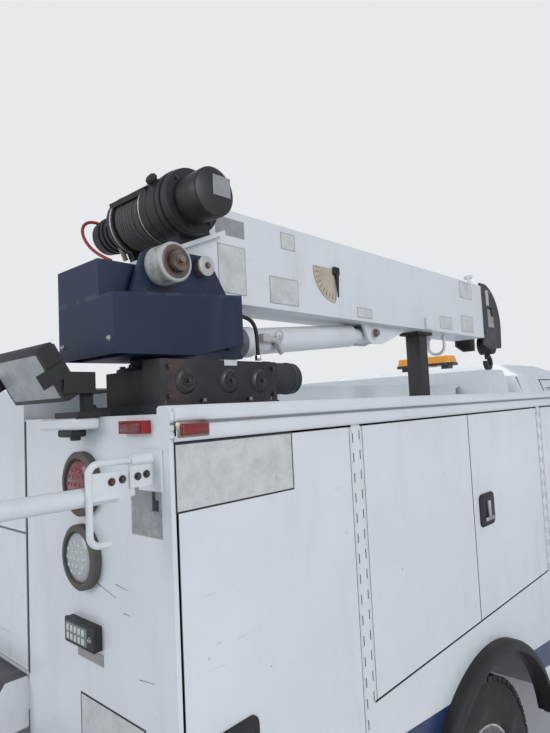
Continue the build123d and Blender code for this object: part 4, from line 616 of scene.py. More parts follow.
def turned(outline, centre, axis, steps, closed=False):
    """Outline of (radius, height) turned about an axis."""
    def build(mesh):
        corners = [mesh.verts.new((radius, 0, height)) for radius, height in outline]
        lines = [mesh.edges.new(pair) for pair in zip(corners, corners[1:])]
        if closed:
            lines.append(mesh.edges.new((corners[-1], corners[0])))
        before = set(mesh.verts) - set(corners)
        bmesh.ops.spin(mesh, geom=corners + lines, cent=(0, 0, 0), axis=upward, dvec=(0, 0, 0), angle=full_turn,
                       steps=steps, use_merge=True, use_normal_flip=False, use_duplicate=False)
        made = [vert for vert in mesh.verts if vert not in before]
        bmesh.ops.remove_doubles(mesh, verts=made, dist=0.00002)
        made = [vert for vert in mesh.verts if vert not in before]
        bmesh.ops.transform(mesh, matrix=Matrix.Translation(centre) @ turned_to(axis), verts=made)
    return build


def hoop(bore, rim, centre, axis, steps, half=0.004, rim_half=0.003):
    """Low band around a round body."""
    return turned(((bore, -half), (rim, -rim_half), (rim, rim_half), (bore, half)), centre, axis, steps, True)


def drawn(points, run, bevel=0.0):
    """Flat outline drawn out along a run, with its front edge softened."""
    def build(mesh):
        face = mesh.faces.new([mesh.verts.new(point) for point in points])
        raised = bmesh.ops.extrude_face_region(mesh, geom=[face])["geom"]
        bmesh.ops.translate(mesh, verts=[item for item in raised if isinstance(item, bmesh.types.BMVert)], vec=run)
        if bevel:
            soften(mesh, [item for item in raised if isinstance(item, bmesh.types.BMEdge)], bevel)
    return build


def bolt(centre, axis, size):
    """Hexagon bolt head on its washer."""
    centre, axis = Vector(centre), Vector(axis).normalized() * size

    def build(mesh):
        bar(centre, centre + axis * 0.18, size * 0.95, 16)(mesh)
        bar(centre + axis * 0.16, centre + axis * 0.75, size * 0.68, 6, size * 0.62)(mesh)
    return build


def settle(name, data, finish, body):
    """Piece of one finish that rides on a body."""
    piece = bpy.data.objects.new(name, data)
    bpy.context.scene.collection.objects.link(piece)
    data.materials.append(finishes[finish])
    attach(piece, body)
    return piece


def make(name, finish, slot, *parts, body="truck", angle=38.0):
    """Piece built from parts, with smooth faces up to an angle."""
    mesh = bmesh.new()
    for part in parts:
        part(mesh)
    bmesh.ops.recalc_face_normals(mesh, faces=mesh.faces[:])
    data = bpy.data.meshes.new(name)
    mesh.to_mesh(data)
    mesh.free()
    if angle:
        for polygon in data.polygons:
            polygon.use_smooth = True
        data.set_sharp_from_angle(angle=math.radians(angle))
    return settle(name, data, finish, body)


def make_hose(name, finish, radius, body, *route):
    """Smooth round lead along points of the crane in millimetres."""
    data = bpy.data.curves.new(name, "CURVE")
    data.dimensions = "3D"
    data.bevel_depth = radius
    data.bevel_resolution = 4
    data.resolution_u = 12
    data.use_fill_caps = True
    spline = data.splines.new("NURBS")
    spline.points.add(len(route) - 1)
    for point, place in zip(spline.points, route):
        point.co = (*on_crane(*place), 1)
    spline.order_u = 3
    spline.use_endpoint_u = True
    return settle(name, data, finish, body)


class TRUCK_OT_cad_finishes(bpy.types.Operator):
    """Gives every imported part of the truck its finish"""

    bl_idname = "truck.cad_finishes"
    bl_label = "Finishes"

    # Finish of the nodes that come in pairs, by their names without the side
    paired = {"knuckle": "casting", "front_wheel": "wheel", "rear_wheels": "wheel", "front_tyre": "rubber",
              "rear_tyres": "rubber", "cab_door": "door", "door_glass": "glass", "pack": "white",
              **dict.fromkeys(door_names, "white")}
    # The other nodes by their finish
    single = {
        "black": ("chassis_frame", "front_bumper", "rear_bumper", "boom_rest"),
        "casting": ("front_axle", "rear_axle", "driveshaft", "engine_block", "hook_block"),
        "plastic": ("fuel_tank", "grille", "work_light", "cab_seat"),
        "cab": ("front_fenders", "hood"),
        "white": ("tailgate", "cargo_cover", "front_locker"),
        "crane": ("cone_holder", "outer_boom", "lift_cylinder"),
        "shell": ("cab_shell",), "border": ("cab_glass",), "dash": ("dashboard",), "clear": ("headlamps",),
        "light_bar": ("light_bar",), "flare": ("fender_flares",), "bed": ("bed",), "bases": ("rear_lamps",),
        "worm": ("crane_base",), "cover": ("turret",), "winch": ("winch",), "inner": ("inner_boom",),
        "rope": ("hook_rope",), "rod": ("cylinder_rod",),
    }

    def execute(self, context):
        chosen = colours()
        worm_patch = ((crane_x - 0.160, pack_roof_z + 0.020), (crane_x - 0.108, pack_roof_z + 0.130))
        finishes.update(
            white=body_paint(), cover=cover_paint(), casting=cast_iron(), worm=cast_iron("worm_casting", worm_patch),
            cab=plain_paint("cab_paint", chosen.body_paint, dust_amount=0.14, chips=0.2, gloss=0.22, coat=0.45),
            crane=plain_paint("crane_paint", chosen.crane_paint, dust_amount=0.30, chips=0.9, gloss=0.36, coat=0.12),
            black=plain_paint("frame_black", (0.018, 0.018, 0.020), dust=(0.13, 0.115, 0.10), dust_amount=0.45,
                              chips=0.35, under=(0.15, 0.055, 0.02), gloss=0.42, coat=0.0, tint=0.3),
            wheel=plain_paint("wheel_paint", (0.52, 0.53, 0.54), dust=(0.22, 0.17, 0.13), dust_amount=0.6, chips=1.0,
                              gloss=0.38, coat=0.1, tint=0.1),
            pale=plain_paint("pale_hub", (0.46, 0.46, 0.45), dust=(0.20, 0.16, 0.13), dust_amount=0.7, chips=1.0),
            brown=plain_paint("worn_brown", (0.105, 0.075, 0.058), dust=(0.26, 0.24, 0.21), dust_amount=0.6, chips=0.8,
                              tint=0.4),
            plastic=moulded_plastic("black_plastic", (0.011, 0.012, 0.013)),
            grommet=moulded_plastic("lamp_grommet", (0.088, 0.076, 0.068), rough=0.6),
            red_lead=moulded_plastic("red_lead", (0.32, 0.022, 0.020), rough=0.45),
            winch=moulded_plastic("winch_body", (0.016, 0.016, 0.018), rough=0.42, grain=180),
            dash=moulded_plastic("dash_plastic", (0.040, 0.041, 0.045)),
            flare=moulded_plastic("flare_rubber", (0.016, 0.016, 0.017), rough=0.6),
            steel=bare_steel(), rusty=bare_steel("rusty_ring", (0.33, 0.28, 0.24), rust=0.95),
            dark_steel=bare_steel("dark_steel", (0.10, 0.10, 0.105), rust=0.5),
            red=lamp_lens("red_lens", chosen.lamp_red), amber=lamp_lens("amber_marker", chosen.lamp_amber),
            clear=lamp_lens("clear_lens", (0.62, 0.64, 0.66), ribs=170),
            window=lamp_lens("strobe_window", (0.20, 0.25, 0.22), ribs=60),
            label=label_paper("blank_label", (0.60, 0.61, 0.60)), tan=label_paper("faded_label", (0.33, 0.31, 0.30)),
            label_grey=label_paper("grey_label", (0.30, 0.31, 0.32)), dial=label_paper("dial_face", (0.52, 0.44, 0.34)),
            work_glass=label_paper("work_light_glass", (0.36, 0.38, 0.38)),
            glass=window_glass(), border=bordered_glass(), mirror=mirror_glass(), film=clear_film(),
            rubber=tyre_rubber(), rope=rope_fibre(), cloth=seat_cloth(), shell=cab_shell_paint(),
            door=cab_door_paint(), bed=bed_paint(), bases=rear_lamp_bases(), light_bar=light_bar_lens(),
            inner=inner_boom_paint(), rod=rod_and_eye())
        for finish, nodes in self.single.items():
            for node in nodes:
                self.dress(node, finish)
        for end, finish in self.paired.items():
            for side, sign in sides:
                self.dress(f"{side}_{end}", finish)
        return {"FINISHED"}

    def dress(self, node, finish):
        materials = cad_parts[node].data.materials
        materials.clear()
        materials.append(finishes[finish])


class TRUCK_OT_rear_lamps(bpy.types.Operator):
    """Round stop and reversing lamps, strobes and markers on the rear wall"""

    bl_idname = "truck.rear_lamps"
    bl_label = "Rear Lamps"

    # Distance in from the side, drop from the roof, finish of the lens and of its optics
    round_lamps = ((0.298, 0.138, "red", "red"), (0.305, 0.290, "clear", "label"))
    ring = ((0.0672, -0.012), (0.0672, 0.002), (0.062, 0.006), (0.054, 0.006), (0.0515, 0.001), (0.0515, -0.012))
    dome = ((0.0, 0.010), (0.018, 0.0095), (0.034, 0.0075), (0.046, 0.004), (0.0512, -0.001), (0.0512, -0.006),
            (0.0, -0.006))
    button = ((0, 0.0065), (0.0045, 0.0062), (0.006, 0.004), (0.006, 0), (0, 0))
    # Part of the side marker: finish, slot, distance out, size, segments of its edges
    side_marker = {"shell": ("rusty", "black_plastic", 0.008, (0.076, 0.014, 0.030), 2),
                   "lens": ("red", "lamp", 0.016, (0.064, 0.010, 0.022), 3)}

    def execute(self, context):
        wall = rear_wall_x - 0.014
        for side, sign in sides:
            for inset, drop, lens, optics in self.round_lamps:
                centre, name = Vector((wall, sign * (side_face_y - inset), pack_roof_z - drop)), f"{side}_{lens}"
                make(f"{name}_grommet", "grommet", "black_plastic", turned(self.ring, centre, rearward, 56, True))
                make(f"{name}_lens", lens, "lamp", turned(self.dome, centre, rearward, 56))
                make(f"{name}_optics", optics, "lamp", *(
                    self.dot(centre + Vector((0, *spot)), 0.0100 - radius * 0.075)
                    for radius, count in ((0.0, 1), (0.016, 6), (0.032, 12)) for spot in circle(count, radius)))
            middle = Vector((wall - 0.002, sign * (side_face_y - 0.303), pack_roof_z - 0.444))
            make(f"{side}_strobe_bezel", "black", "black_plastic", block(middle, (0.008, 0.121, 0.052), 0.0038, 3))
            make(f"{side}_strobe_window", "window", "lamp",
                 block(middle + Vector((-0.0035, 0.008, 0)), (0.006, 0.086, 0.037), 0.0028, 3))
            make(f"{side}_strobe_diodes", "label", "lamp", *(
                block(middle + Vector((-0.0068, 0.008 + column * 0.0155, row * 0.0085)), (0.003, 0.0095, 0.0125),
                      0.0014) for column in range(-2, 3) for row in (-1, 1)))
            make(f"{side}_strobe_screw", "steel", "wheel_steel",
                 bolt(middle + Vector((-0.004, sign * 0.046, 0)), rearward, 0.006))
            place = Vector((rear_wall_x - 0.0165, sign * (side_face_y - 0.095), pack_roof_z - 0.022))
            make(f"{side}_rear_marker_lens", "red", "lamp", block(place, (0.010, 0.062, 0.019), 0.0045, 3),
                 turned(self.button, place, rearward, 16))
            for name, (finish, slot, out, size, segments) in self.side_marker.items():
                place = (rear_wall_x + 0.046, sign * (side_face_y + out), pack_roof_z - 0.029)
                make(f"{side}_side_marker_{name}", finish, slot, block(place, size, 0.004, segments))
        return {"FINISHED"}

    def dot(self, spot, rise):
        """Small raised lens of a lamp's optics."""
        outline = ((0.0, rise + 0.0022), (0.0034, rise + 0.0016), (0.0052, rise - 0.003), (0.0, rise - 0.003))
        return turned(outline, spot, rearward, 12)


class TRUCK_OT_pack_latches(bpy.types.Operator):
    """Paddle latches and hinges of the pack doors"""

    bl_idname = "truck.pack_latches"
    bl_label = "Pack Doors"

    # Door, distance of the latch from the rear wall, drop of its centre from the roof
    latches = (("rear_pack_door", 0.130, 0.640), ("middle_front_pack_door", 1.328, 0.384),
               ("front_pack_door", 2.620, 0.640))

    def execute(self, context):
        for side, sign in sides:
            for door, along, drop in self.latches:
                centre = Vector((rear_wall_x + along, sign * side_face_y, pack_roof_z - drop))
                self.latch(f"{side}_{door}", centre, sign)
            for door in door_names:
                self.hinge(f"{side}_{door}", sign, door in ("middle_rear_pack_door", "front_pack_door"))
        return {"FINISHED"}

    def latch(self, body, centre, sign):
        def at(out, up):
            return centre + Vector((0, sign * out, up))
        make(f"{body}_latch_plate", "plastic", "black_plastic", self.tile(centre, 0.118, 0.110, 0.020, sign * 0.0050),
             body=body)
        make(f"{body}_latch_pocket", "black", "black_plastic",
             self.tile(at(0, -0.002), 0.084, 0.082, 0.014, sign * 0.0056), body=body)
        make(f"{body}_latch_handle", "steel", "wheel_steel",
             bar(at(0.008, 0.030), at(0.010, -0.026), 0.0085, 14, 0.0065, 0.0015),
             block(at(0.0095, -0.030), (0.066, 0.010, 0.013), 0.004, 3), body=body)

    def tile(self, centre, width, height, corner, proud):
        """Flat tile with round corners and a soft front edge."""
        points = [centre + Vector((across * (width / 2 - corner) + math.cos(angle) * corner, 0,
                                   up * (height / 2 - corner) + math.sin(angle) * corner))
                  for across, up, start in ((1, 1, 0), (-1, 1, 90), (-1, -1, 180), (1, -1, 270))
                  for angle in [math.radians(start + 18 * step) for step in range(6)]]
        return drawn(points, (0, proud, 0), 0.0018)

    def hinge(self, door, sign, at_rear):
        """Knuckles in turn on the door and the frame; the gap beside each is painted shade, drawn in black on the other
        leaf.
        """
        low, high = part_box(door)
        hinge_x, inward = (low.x, 1) if at_rear else (high.x, -1)
        barrel = Vector((hinge_x + inward * 0.0027, sign * (side_face_y - 0.0027), 0))
        length = sizes().knuckle_length
        half = Vector((0, 0, length / 2 - 0.0009))
        middles = [barrel + Vector((0, 0, low.z + (index + 0.5) * length))
                   for index in range(int((high.z - low.z) / length))]
        # Painted shade of the hinge's gaps: thin black marks beside the door's knuckles and a black strip down the door
        # beside the frame's
        gap_shades = [sheet(middle + Vector((-inward * 0.0072, sign * 0.0028, 0)), (0.0030, 0.0008, length * 0.94), 0.0002)
                for middle in middles[::2]]
        gap_shade_strip = sheet(barrel + Vector((inward * 0.0064, sign * 0.0028, (low.z + high.z) / 2)),
                      (0.0016, 0.0008, high.z - low.z), 0.0002)
        for first, name, body, other, shade_parts in ((0, "door", door, "truck", gap_shades), (1, "frame", "truck", door, [gap_shade_strip])):
            knuckles = [bar(middle - half, middle + half, 0.0046, 8) for middle in middles[first::2]]
            make(f"{door}_{name}_knuckles", "white", "white_paint", *knuckles, body=body, angle=50)
            make(f"{door}_{name}_hinge_shade_marks", "black", "black_plastic", *shade_parts, body=other)


class TRUCK_OT_pack_rails(bpy.types.Operator):
    """Rolled beads of the rails along the tops of the packs"""

    bl_idname = "truck.pack_rails"
    bl_label = "Pack Rails"

    # Height of the middle from the roof, half height, how far it stands proud
    beads = ((-0.0355, 0.0150, 0.0085), (-0.0015, 0.0130, 0.0060))

    def execute(self, context):
        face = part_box("left_pack")[1].y - 0.0012
        arc = [math.pi * step / 12 for step in range(13)]
        run = (body_front_x - rear_wall_x - 0.016, 0, 0)
        for side, sign in sides:
            make(f"{side}_rail_beads", "white", "white_paint", *(
                drawn([(rear_wall_x + 0.008, sign * (face + math.sin(angle) * proud),
                        pack_roof_z + middle + math.cos(angle) * half) for angle in arc], run)
                for middle, half, proud in self.beads), angle=45)
        return {"FINISHED"}


class TRUCK_OT_crane_labels(bpy.types.Operator):
    """Blank labels and the boom angle dial"""

    bl_idname = "truck.crane_labels"
    bl_label = "Crane Labels"

    # Centre forward and up in millimetres, width and height in metres, finish
    boom_labels = (
        (119, 356, 0.092, 0.122, "label"), (316, 323, 0.116, 0.072, "label"), (340, 469, 0.056, 0.044, "label"),
        (117, 466, 0.096, 0.042, "label_grey"), (713, 297, 0.084, 0.030, "label"), (1305, 310, 0.104, 0.046, "label"),
        (1512, 468, 0.116, 0.068, "label"), (1508, 320, 0.116, 0.066, "label"),
    )

    def execute(self, context):
        for index, (ahead, up, width, height, finish) in enumerate(self.boom_labels):
            for side, sign in sides:
                spot = on_crane(ahead, sign * 76.4, up)
                make(f"boom_label_{side}_{index}", finish, "white_paint", sheet(spot, (width, 0.0009, height)),
                     body="boom")
                make(f"boom_label_edge_{side}_{index}", "tan", "white_paint",
                     sheet(spot, (width + 0.004, 0.0006, height + 0.004), 0.0002), body="boom")
        wall = rear_wall_x - 0.0006
        flats = (("rear_door_label", (rear_wall_x + 0.169, -side_face_y - 0.0005, pack_roof_z - 0.115),
                  (0.312, 0.0009, 0.118), (0.319, 0.0007, 0.125), "right_rear_pack_door"),
                 ("rear_wall_label", (wall, -side_face_y + 0.217, pack_roof_z - 0.646),
                  (0.0012, 0.230, 0.140), (0.0007, 0.237, 0.147), "truck"))
        for name, place, size, edge_size, body in flats:
            make(name, "label", "white_paint", sheet(place, size), body=body)
            make(f"{name}_edge", "black", "black_plastic", sheet(place, edge_size, 0.0002), body=body)
        make("rear_wall_plate", "tan", "wheel_steel",
             sheet((wall, -side_face_y + 0.2915, pack_roof_z - 0.4885), (0.0012, 0.103, 0.023)))
        self.dial()
        return {"FINISHED"}

    def dial(self):
        """Quadrant dial with its hanging pointer."""
        def at(ahead, out, up):
            return on_crane(552, -76.8, 418) + Vector((ahead, -out, up))

        def spoke(degrees, radius, out):
            return at(math.cos(math.radians(degrees)) * radius, out, math.sin(math.radians(degrees)) * radius)
        corners = [at(0.004, 0, 0.004), *(spoke(180 + 7.5 * step, 0.104, 0) for step in range(13))]
        make("angle_dial", "dial", "white_paint", drawn(corners, (0, -0.0014, 0)), body="boom", angle=0)
        make("angle_dial_ticks", "black", "black_plastic", *(
            bar(spoke(degrees, 0.080, 0.0016), spoke(degrees, 0.098, 0.0016), 0.0008, 6)
            for degrees in range(180, 280, 10)), body="boom")
        make("angle_pointer", "plastic", "black_plastic",
             block(at(0.004, 0.006, -0.004), (0.030, 0.009, 0.026), 0.006, 3),
             bar(at(0.004, 0.008, -0.004), at(0.006, 0.008, -0.086), 0.0075, 14, 0.0022),
             turned(((0, 0.0055), (0.006, 0.0048), (0.0085, 0.001), (0.0085, -0.004), (0, -0.004)),
                    at(0.004, 0.010, -0.004), rightward, 20), body="boom")


class TRUCK_OT_crane_details(bpy.types.Operator):
    """Bolts, drum rope, winch trim and fittings of the crane"""

    bl_idname = "truck.crane_details"
    bl_label = "Crane Details"

    collar = ((0.0212, -0.001), (0.0212, 0.0068), (0.0245, 0.0050), (0.0285, 0.0008), (0.0285, -0.001))
    socket = ((0.0, 0.0088), (0.011, 0.0088), (0.0125, 0.0100), (0.0150, 0.0096), (0.0160, 0.0070), (0.0, 0.0070))
    disc = ((0.0, 0.003), (0.030, 0.003), (0.034, 0.001), (0.034, -0.001), (0.0, -0.001))
    hub = ((0.0438, -0.003), (0.0438, 0.0005), (0.0420, 0.0035), (0.039, 0.0050), (0.037, 0.0040), (0.037, -0.003))
    hub_face = ((0.0372, -0.002), (0.0372, 0.0042), (0.033, 0.0056), (0.025, 0.0050), (0.0225, 0.0030),
                (0.0225, -0.002))
    stub = ((0.0, 0.0030), (0.012, 0.0030), (0.021, 0.0024), (0.0238, 0.0), (0.0238, -0.004), (0.0, -0.004))
    crown = ((0.0562, -0.030), (0.0568, -0.006), (0.0545, 0.0015), (0.049, 0.0045), (0.0, 0.0050), (0.0, -0.002),
             (0.050, -0.004), (0.0555, -0.030))
    knob = ((0, 0.022), (0.009, 0.021), (0.014, 0.017), (0.015, 0.010), (0.011, 0.006), (0.011, -0.004), (0, -0.004))
    clip = ((0.012, -0.0012), (0.0135, 0.0), (0.012, 0.0012), (0.0105, 0.0))

    def execute(self, context):
        self.rope()
        self.gearbox()
        self.pivots()
        self.winch_trim()
        self.fittings()
        return {"FINISHED"}

    def rope(self):
        """Turns of rope lying side by side on the drum."""
        diameter = sizes().rope_diameter
        wander, turns = random.Random(4), []
        for index in range(int(0.114 / diameter)):
            radius = 0.0655 + wander.uniform(-0.0006, 0.0006)
            ring = [(radius + out, along) for out, along in circle(8, diameter / 2)]
            lean = (wander.uniform(-0.012, 0.012), 1, wander.uniform(-0.012, 0.012))
            turns.append(turned(ring, on_axis(drum, -10 + 1000 * diameter * (index + 0.5)), lean, 48, True))
        make("winch_rope", "rope", "black_plastic", *turns, body="boom", angle=60)

    def gearbox(self):
        """Bolts, collars, motor end and label scrap of the worm gearbox."""
        make("gearbox_bolts", "dark_steel", "steel_dark",
             *(bolt(on_crane(ahead, -155, up), rightward, 0.008) for ahead in (-150, 165) for up in (36, 98)),
             *(bolt(on_crane(*corner, 20), upward, 0.012)
               for corner in ((-158, -148), (158, -148), (-158, 138), (158, 138), (-60, -160), (80, -160))),
             *(bolt(on_crane(*spot, 106), upward, 0.011) for spot in circle(14, 136)))
        spots = [on_crane(ahead, -155, 68) for ahead in (-105, 20, 120)]
        make("gearbox_collars", "dark_steel", "steel_dark",
             *(turned(self.collar, spot, rightward, 40, True) for spot in spots),
             *(bolt(spot + Vector((0, -0.0085, 0)), rightward, 0.0085) for spot in spots))
        make("gearbox_sockets", "black", "steel_dark",
             *(turned(self.socket, spot, rightward, 32) for spot in spots))
        make("motor_end", "dark_steel", "steel_dark", turned(self.disc, on_crane(282, -112, 76), forward, 40),
             hoop(0.0412, 0.0425, on_crane(262, -112, 76), forward, 48))
        make("gearbox_label_scrap", "label", "white_paint",
             sheet(on_crane(22, -136, 114.9), (0.052, 0.026, 0.0008), 0.0002, Matrix.Rotation(0.22, 4, "Z")),
             sheet(on_crane(26, -155.6, 109), (0.040, 0.0008, 0.013), 0.0002))

    def pivots(self):
        """Screws, hubs and nuts of the turret, and the bolts of winch and boom."""
        ways = (-1, 1)
        make("cover_screws", "steel", "wheel_steel",
             *(bolt(on_crane(-250, way * 98, 158), rearward, 0.0065) for way in ways), body="turret")
        make("pivot_hubs", "pale", "steel_dark",
             *(turned(self.hub, on_axis(boom_pivot, way * 146), (0, way, 0), 56, True) for way in ways),
             *(turned(self.stub, on_axis(upper_pin, way * 116), (0, way, 0), 40) for way in ways), body="turret")
        make("pivot_faces", "brown", "steel_dark", *(
            turned(self.hub_face, on_axis(boom_pivot, way * 146), (0, way, 0), 56, True)
            for way in ways), body="turret")
        make("pivot_nuts", "rusty", "steel_dark",
             *(bolt(on_axis(boom_pivot, way * 166), (0, way, 0), 0.0125) for way in ways),
             *(bolt(on_axis(upper_pin, way * 119), (0, way, 0), 0.0085) for way in ways), body="turret")
        make("winch_bolts", "dark_steel", "wheel_steel", *(
            bolt(on_axis(drum, across, ahead, up), (0, across, 0), 0.006)
            for radius, across in ((64, -121), (34, 250)) for ahead, up in circle(6, radius, 0.3)), body="boom")
        make("boom_bolts", "rusty", "steel_dark",
             *(bolt(on_crane(810, way * 52, 240), (0, way, 0), 0.016) for way in ways), body="boom")
        make("tip_bolts", "rusty", "steel_dark", *(
            bolt(on_crane(ahead, way * 70, up), (0, way, 0), 0.010)
            for ahead, up in ((1720, 480), (1720, 300), (1780, 490)) for way in ways), body="inner_boom")

    def winch_trim(self):
        """Cooling ribs, clutch handle and a blank plate on the winch."""
        ribs = [hoop(bore, rim, on_axis(drum, across), leftward, steps)
                for bore, rim, steps, places in ((0.0455, 0.0495, 48, (160, 180, 200, 220)),
                                                 (0.0745, 0.0775, 56, (-108, -72, -36))) for across in places]
        make("winch_ribs", "black", "black_plastic", *ribs, body="boom")
        # Bare steel rings on the drum's flanges, whose light colour also stands in for the highlight along the rims:
        # painted highlight
        make("drum_rim_highlights", "steel", "wheel_steel", *(
            hoop(0.0752, 0.0775, on_axis(drum, across), leftward, 64, 0.0016, 0.0010)
            for across in (-11.5, 112)), body="boom")
        make("winch_cap", "winch", "black_plastic", turned(self.crown, on_axis(drum, -195), rightward, 64), body="boom")
        make("winch_plate", "label_grey", "black_plastic",
             sheet(on_crane(-20, -200.3, 500), (0.052, 0.0012, 0.046), 0.0004), body="boom")
        make("clutch_knob", "plastic", "black_plastic",
             turned(self.knob, on_crane(-98, -60, 530), (-0.80, 0, 0.60), 28), body="boom")
        make_hose("winch_lead", "red_lead", 0.0042, "boom", (-50, 236, 512), (-78, 248, 526), (-112, 250, 510),
                  (-120, 236, 468), (-104, 200, 420), (-84, 160, 398))
        make("winch_arm", "tan", "wheel_steel", crane_bar((-102, 128, 482), (-60, 128, 394), 0.0065, 16, 0.0015),
             crane_bar((-101, 118, 480), (-101, 136, 480), 0.0095, 20, 0.002), body="boom")

    def fittings(self):
        """Hose of the slewing motor, the cylinder's port and the stub on the boom's end."""
        make_hose("turret_hose", "plastic", 0.0052, "turret", (100, -91, 236), (146, -91, 236), (176, -91, 218),
                  (183, -91, 180), (183, -91, 134))
        make("hose_ends", "steel", "wheel_steel", crane_bar((183, -91, 138), (183, -91, 124), 0.0085, 6),
             crane_bar((104, -91, 236), (120, -91, 236), 0.0085, 6), body="turret")
        make("cylinder_port", "pale", "wheel_steel",
             block(on_crane(258, -46, 192), (0.030, 0.022, 0.024), 0.004, 3),
             crane_bar((262, -46, 192), (300, -46, 188), 0.0085),
             crane_bar((296, -46, 196), (326, -46, 152), 0.0100, end_radius=0.0075),
             crane_bar((306, -46, 181), (312, -46, 172), 0.0125, 6),
             *(turned(self.clip, on_crane(ahead, -48, up), (lean, 1, 0.2), 28, True)
               for ahead, up, lean in ((316, 204, 0.3), (326, 198, -0.4))), body="lift_barrel")
        make("boom_end_stub", "crane", "crane_white",
             crane_bar((1640, -41, 506), (1640, -41, 556), 0.0095, 20, 0.0015),
             crane_bar((1640, -56, 552), (1640, -20, 552), 0.0095, 20, 0.0015),
             block(on_crane(1640, -41, 513), (0.044, 0.032, 0.006), 0.0015), body="boom")
        make("tip_slots", "pale", "steel_dark", *(
            sheet(on_crane(1760, across, 464), (0.032, 0.0012, 0.072), 0.0004) for across in (-70.6, 70.6)),
            body="inner_boom")
        make("tip_labels", "tan", "white_paint", *(
            sheet(on_crane(1784, across, 368), (0.066, 0.0014, 0.084), 0.0004) for across in (-70.8, 70.8)),
            body="inner_boom")


class TRUCK_OT_tyres(bpy.types.Operator):
    """Tyres with grooves and tread blocks, and the nuts of every wheel"""

    bl_idname = "truck.tyres"
    bl_label = "Tyres and Nuts"

    # Axle, body, tyre, place along the truck, places of its tyres across, face under the nuts
    wheels = (("front", "front_wheel", "front_tyre", front_wheel_x, (0.900,), 0.998),
              ("rear", "rear_wheels", "rear_tyres", rear_wheel_x, (0.770, 1.060), 0.924))
    # Half section of a tyre: distance across from its middle, radius
    section = ((0.095, 0.249), (0.104, 0.262), (0.1125, 0.300), (0.1125, 0.335), (0.106, 0.368), (0.094, 0.388))
    # Rows of tread blocks: distance across, width, shift around, radius of the middle
    rows = ((-0.082, 0.038, 0.0, 0.3923), (-0.028, 0.044, 0.5, 0.3968), (0.028, 0.044, 0.0, 0.3968),
            (0.082, 0.038, 0.5, 0.3923))
    row_blocks = 56

    def execute(self, context):
        for side, sign in sides:
            for axle, wheel, tyre, x, places, face in self.wheels:
                body = f"{side}_{wheel}"
                tread = make(f"{side}_{axle}_tyre_tread", "rubber", "tyre", *(
                    part for across in places for part in self.carcass(Vector((x, sign * across, tyre_radius)))),
                    body=body, angle=30)
                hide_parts(f"{side}_{tyre}")
                make(f"{side}_{axle}_nuts", "rusty", "wheel_steel", *(
                    part for ahead, up in circle(8, 0.112, full_turn / 16)
                    for part in self.nut(Vector((x + ahead, sign * face, tyre_radius + up)), sign)), body=body)
        return {"FINISHED"}

    def carcass(self, centre):
        """Turned tyre down to its grooves, and its tread blocks."""
        base = tyre_radius - sizes().groove_depth
        half = [*self.section, (0.080, base)]
        outline = [(radius, across) for across, radius in half] + [(base, 0.0)]
        outline += [(radius, -across) for across, radius in reversed(half)] + [(0.244, -0.080), (0.244, 0.080)]

        def blocks(mesh):
            for index in range(self.row_blocks):
                for across, width, shift, reach in self.rows:
                    turn = full_turn * (index + shift) / self.row_blocks
                    spot = centre + Vector((math.cos(turn) * reach, across, math.sin(turn) * reach))
                    place = Matrix.Translation(spot) @ Matrix.Rotation(-turn, 4, "Y")
                    bmesh.ops.create_cube(mesh, size=1, matrix=place @ Matrix.Diagonal((0.0155, width, 0.033, 1)))
        return turned(outline, centre, leftward, 96, True), blocks

    def nut(self, spot, sign):
        def at(out):
            return spot + Vector((0, sign * out, 0))
        return bar(spot, at(0.016), 0.0165, 6, 0.0155), bar(at(0.015), at(0.026), 0.0115, 12, 0.009)


class TRUCK_OT_cab_details(bpy.types.Operator):
    """Door handles, mirror glass, roof markers and wipers of the cab"""

    bl_idname = "truck.cab_details"
    bl_label = "Cab Details"

    marker = ((0, 0.022), (0.012, 0.020), (0.024, 0.012), (0.028, 0.0), (0.028, -0.006), (0, -0.006))

    def execute(self, context):
        for side, sign in sides:
            grip = Vector((cab_rear_x + 0.470, sign * (cab_half + 0.017), 1.235))
            make(f"{side}_cab_handle", "plastic", "black_plastic", block(grip, (0.190, 0.016, 0.030), 0.007, 4),
                 *(block(grip + Vector((end, -sign * 0.011, 0)), (0.028, 0.022, 0.026), 0.005, 3)
                   for end in (-0.078, 0.078)), body=f"{side}_cab_door")
            make(f"{side}_mirror_glass", "mirror", "clear_glass", *(
                block((cowl_x - 0.2175, sign * (cab_half + 0.165), up), (0.004, 0.156, height), 0.0018)
                for up, height in ((1.545, 0.196), (1.385, 0.074))), body=f"{side}_cab_door")
        roof_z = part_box("cab_shell")[1].z
        make("roof_markers", "amber", "amber", *(
            turned(self.marker, (cab_rear_x + 0.90, across, roof_z), upward, 24)
            for across in (-0.42, -0.16, 0.0, 0.16, 0.42)))
        make("wipers", "plastic", "black_plastic", *self.wiper(-0.50, -0.08), *self.wiper(0.10, 0.50))
        return {"FINISHED"}

    def wiper(self, start_y, end_y):
        """Arm, blade and pivot of one wiper."""
        start, end = Vector((cowl_x - 0.03, start_y, 1.352)), Vector((cowl_x - 0.255, end_y, 1.572))
        return (bar(start, end, 0.006, 10, 0.004),
                block(end + Vector((0.008, 0, 0.004)), (0.010, 0.46, 0.016), 0.003, 2, Matrix.Rotation(0.18, 4, "X")),
                bar(start - Vector((0, 0, 0.02)), start + Vector((0, 0, 0.012)), 0.014, 16, bevel=0.003))


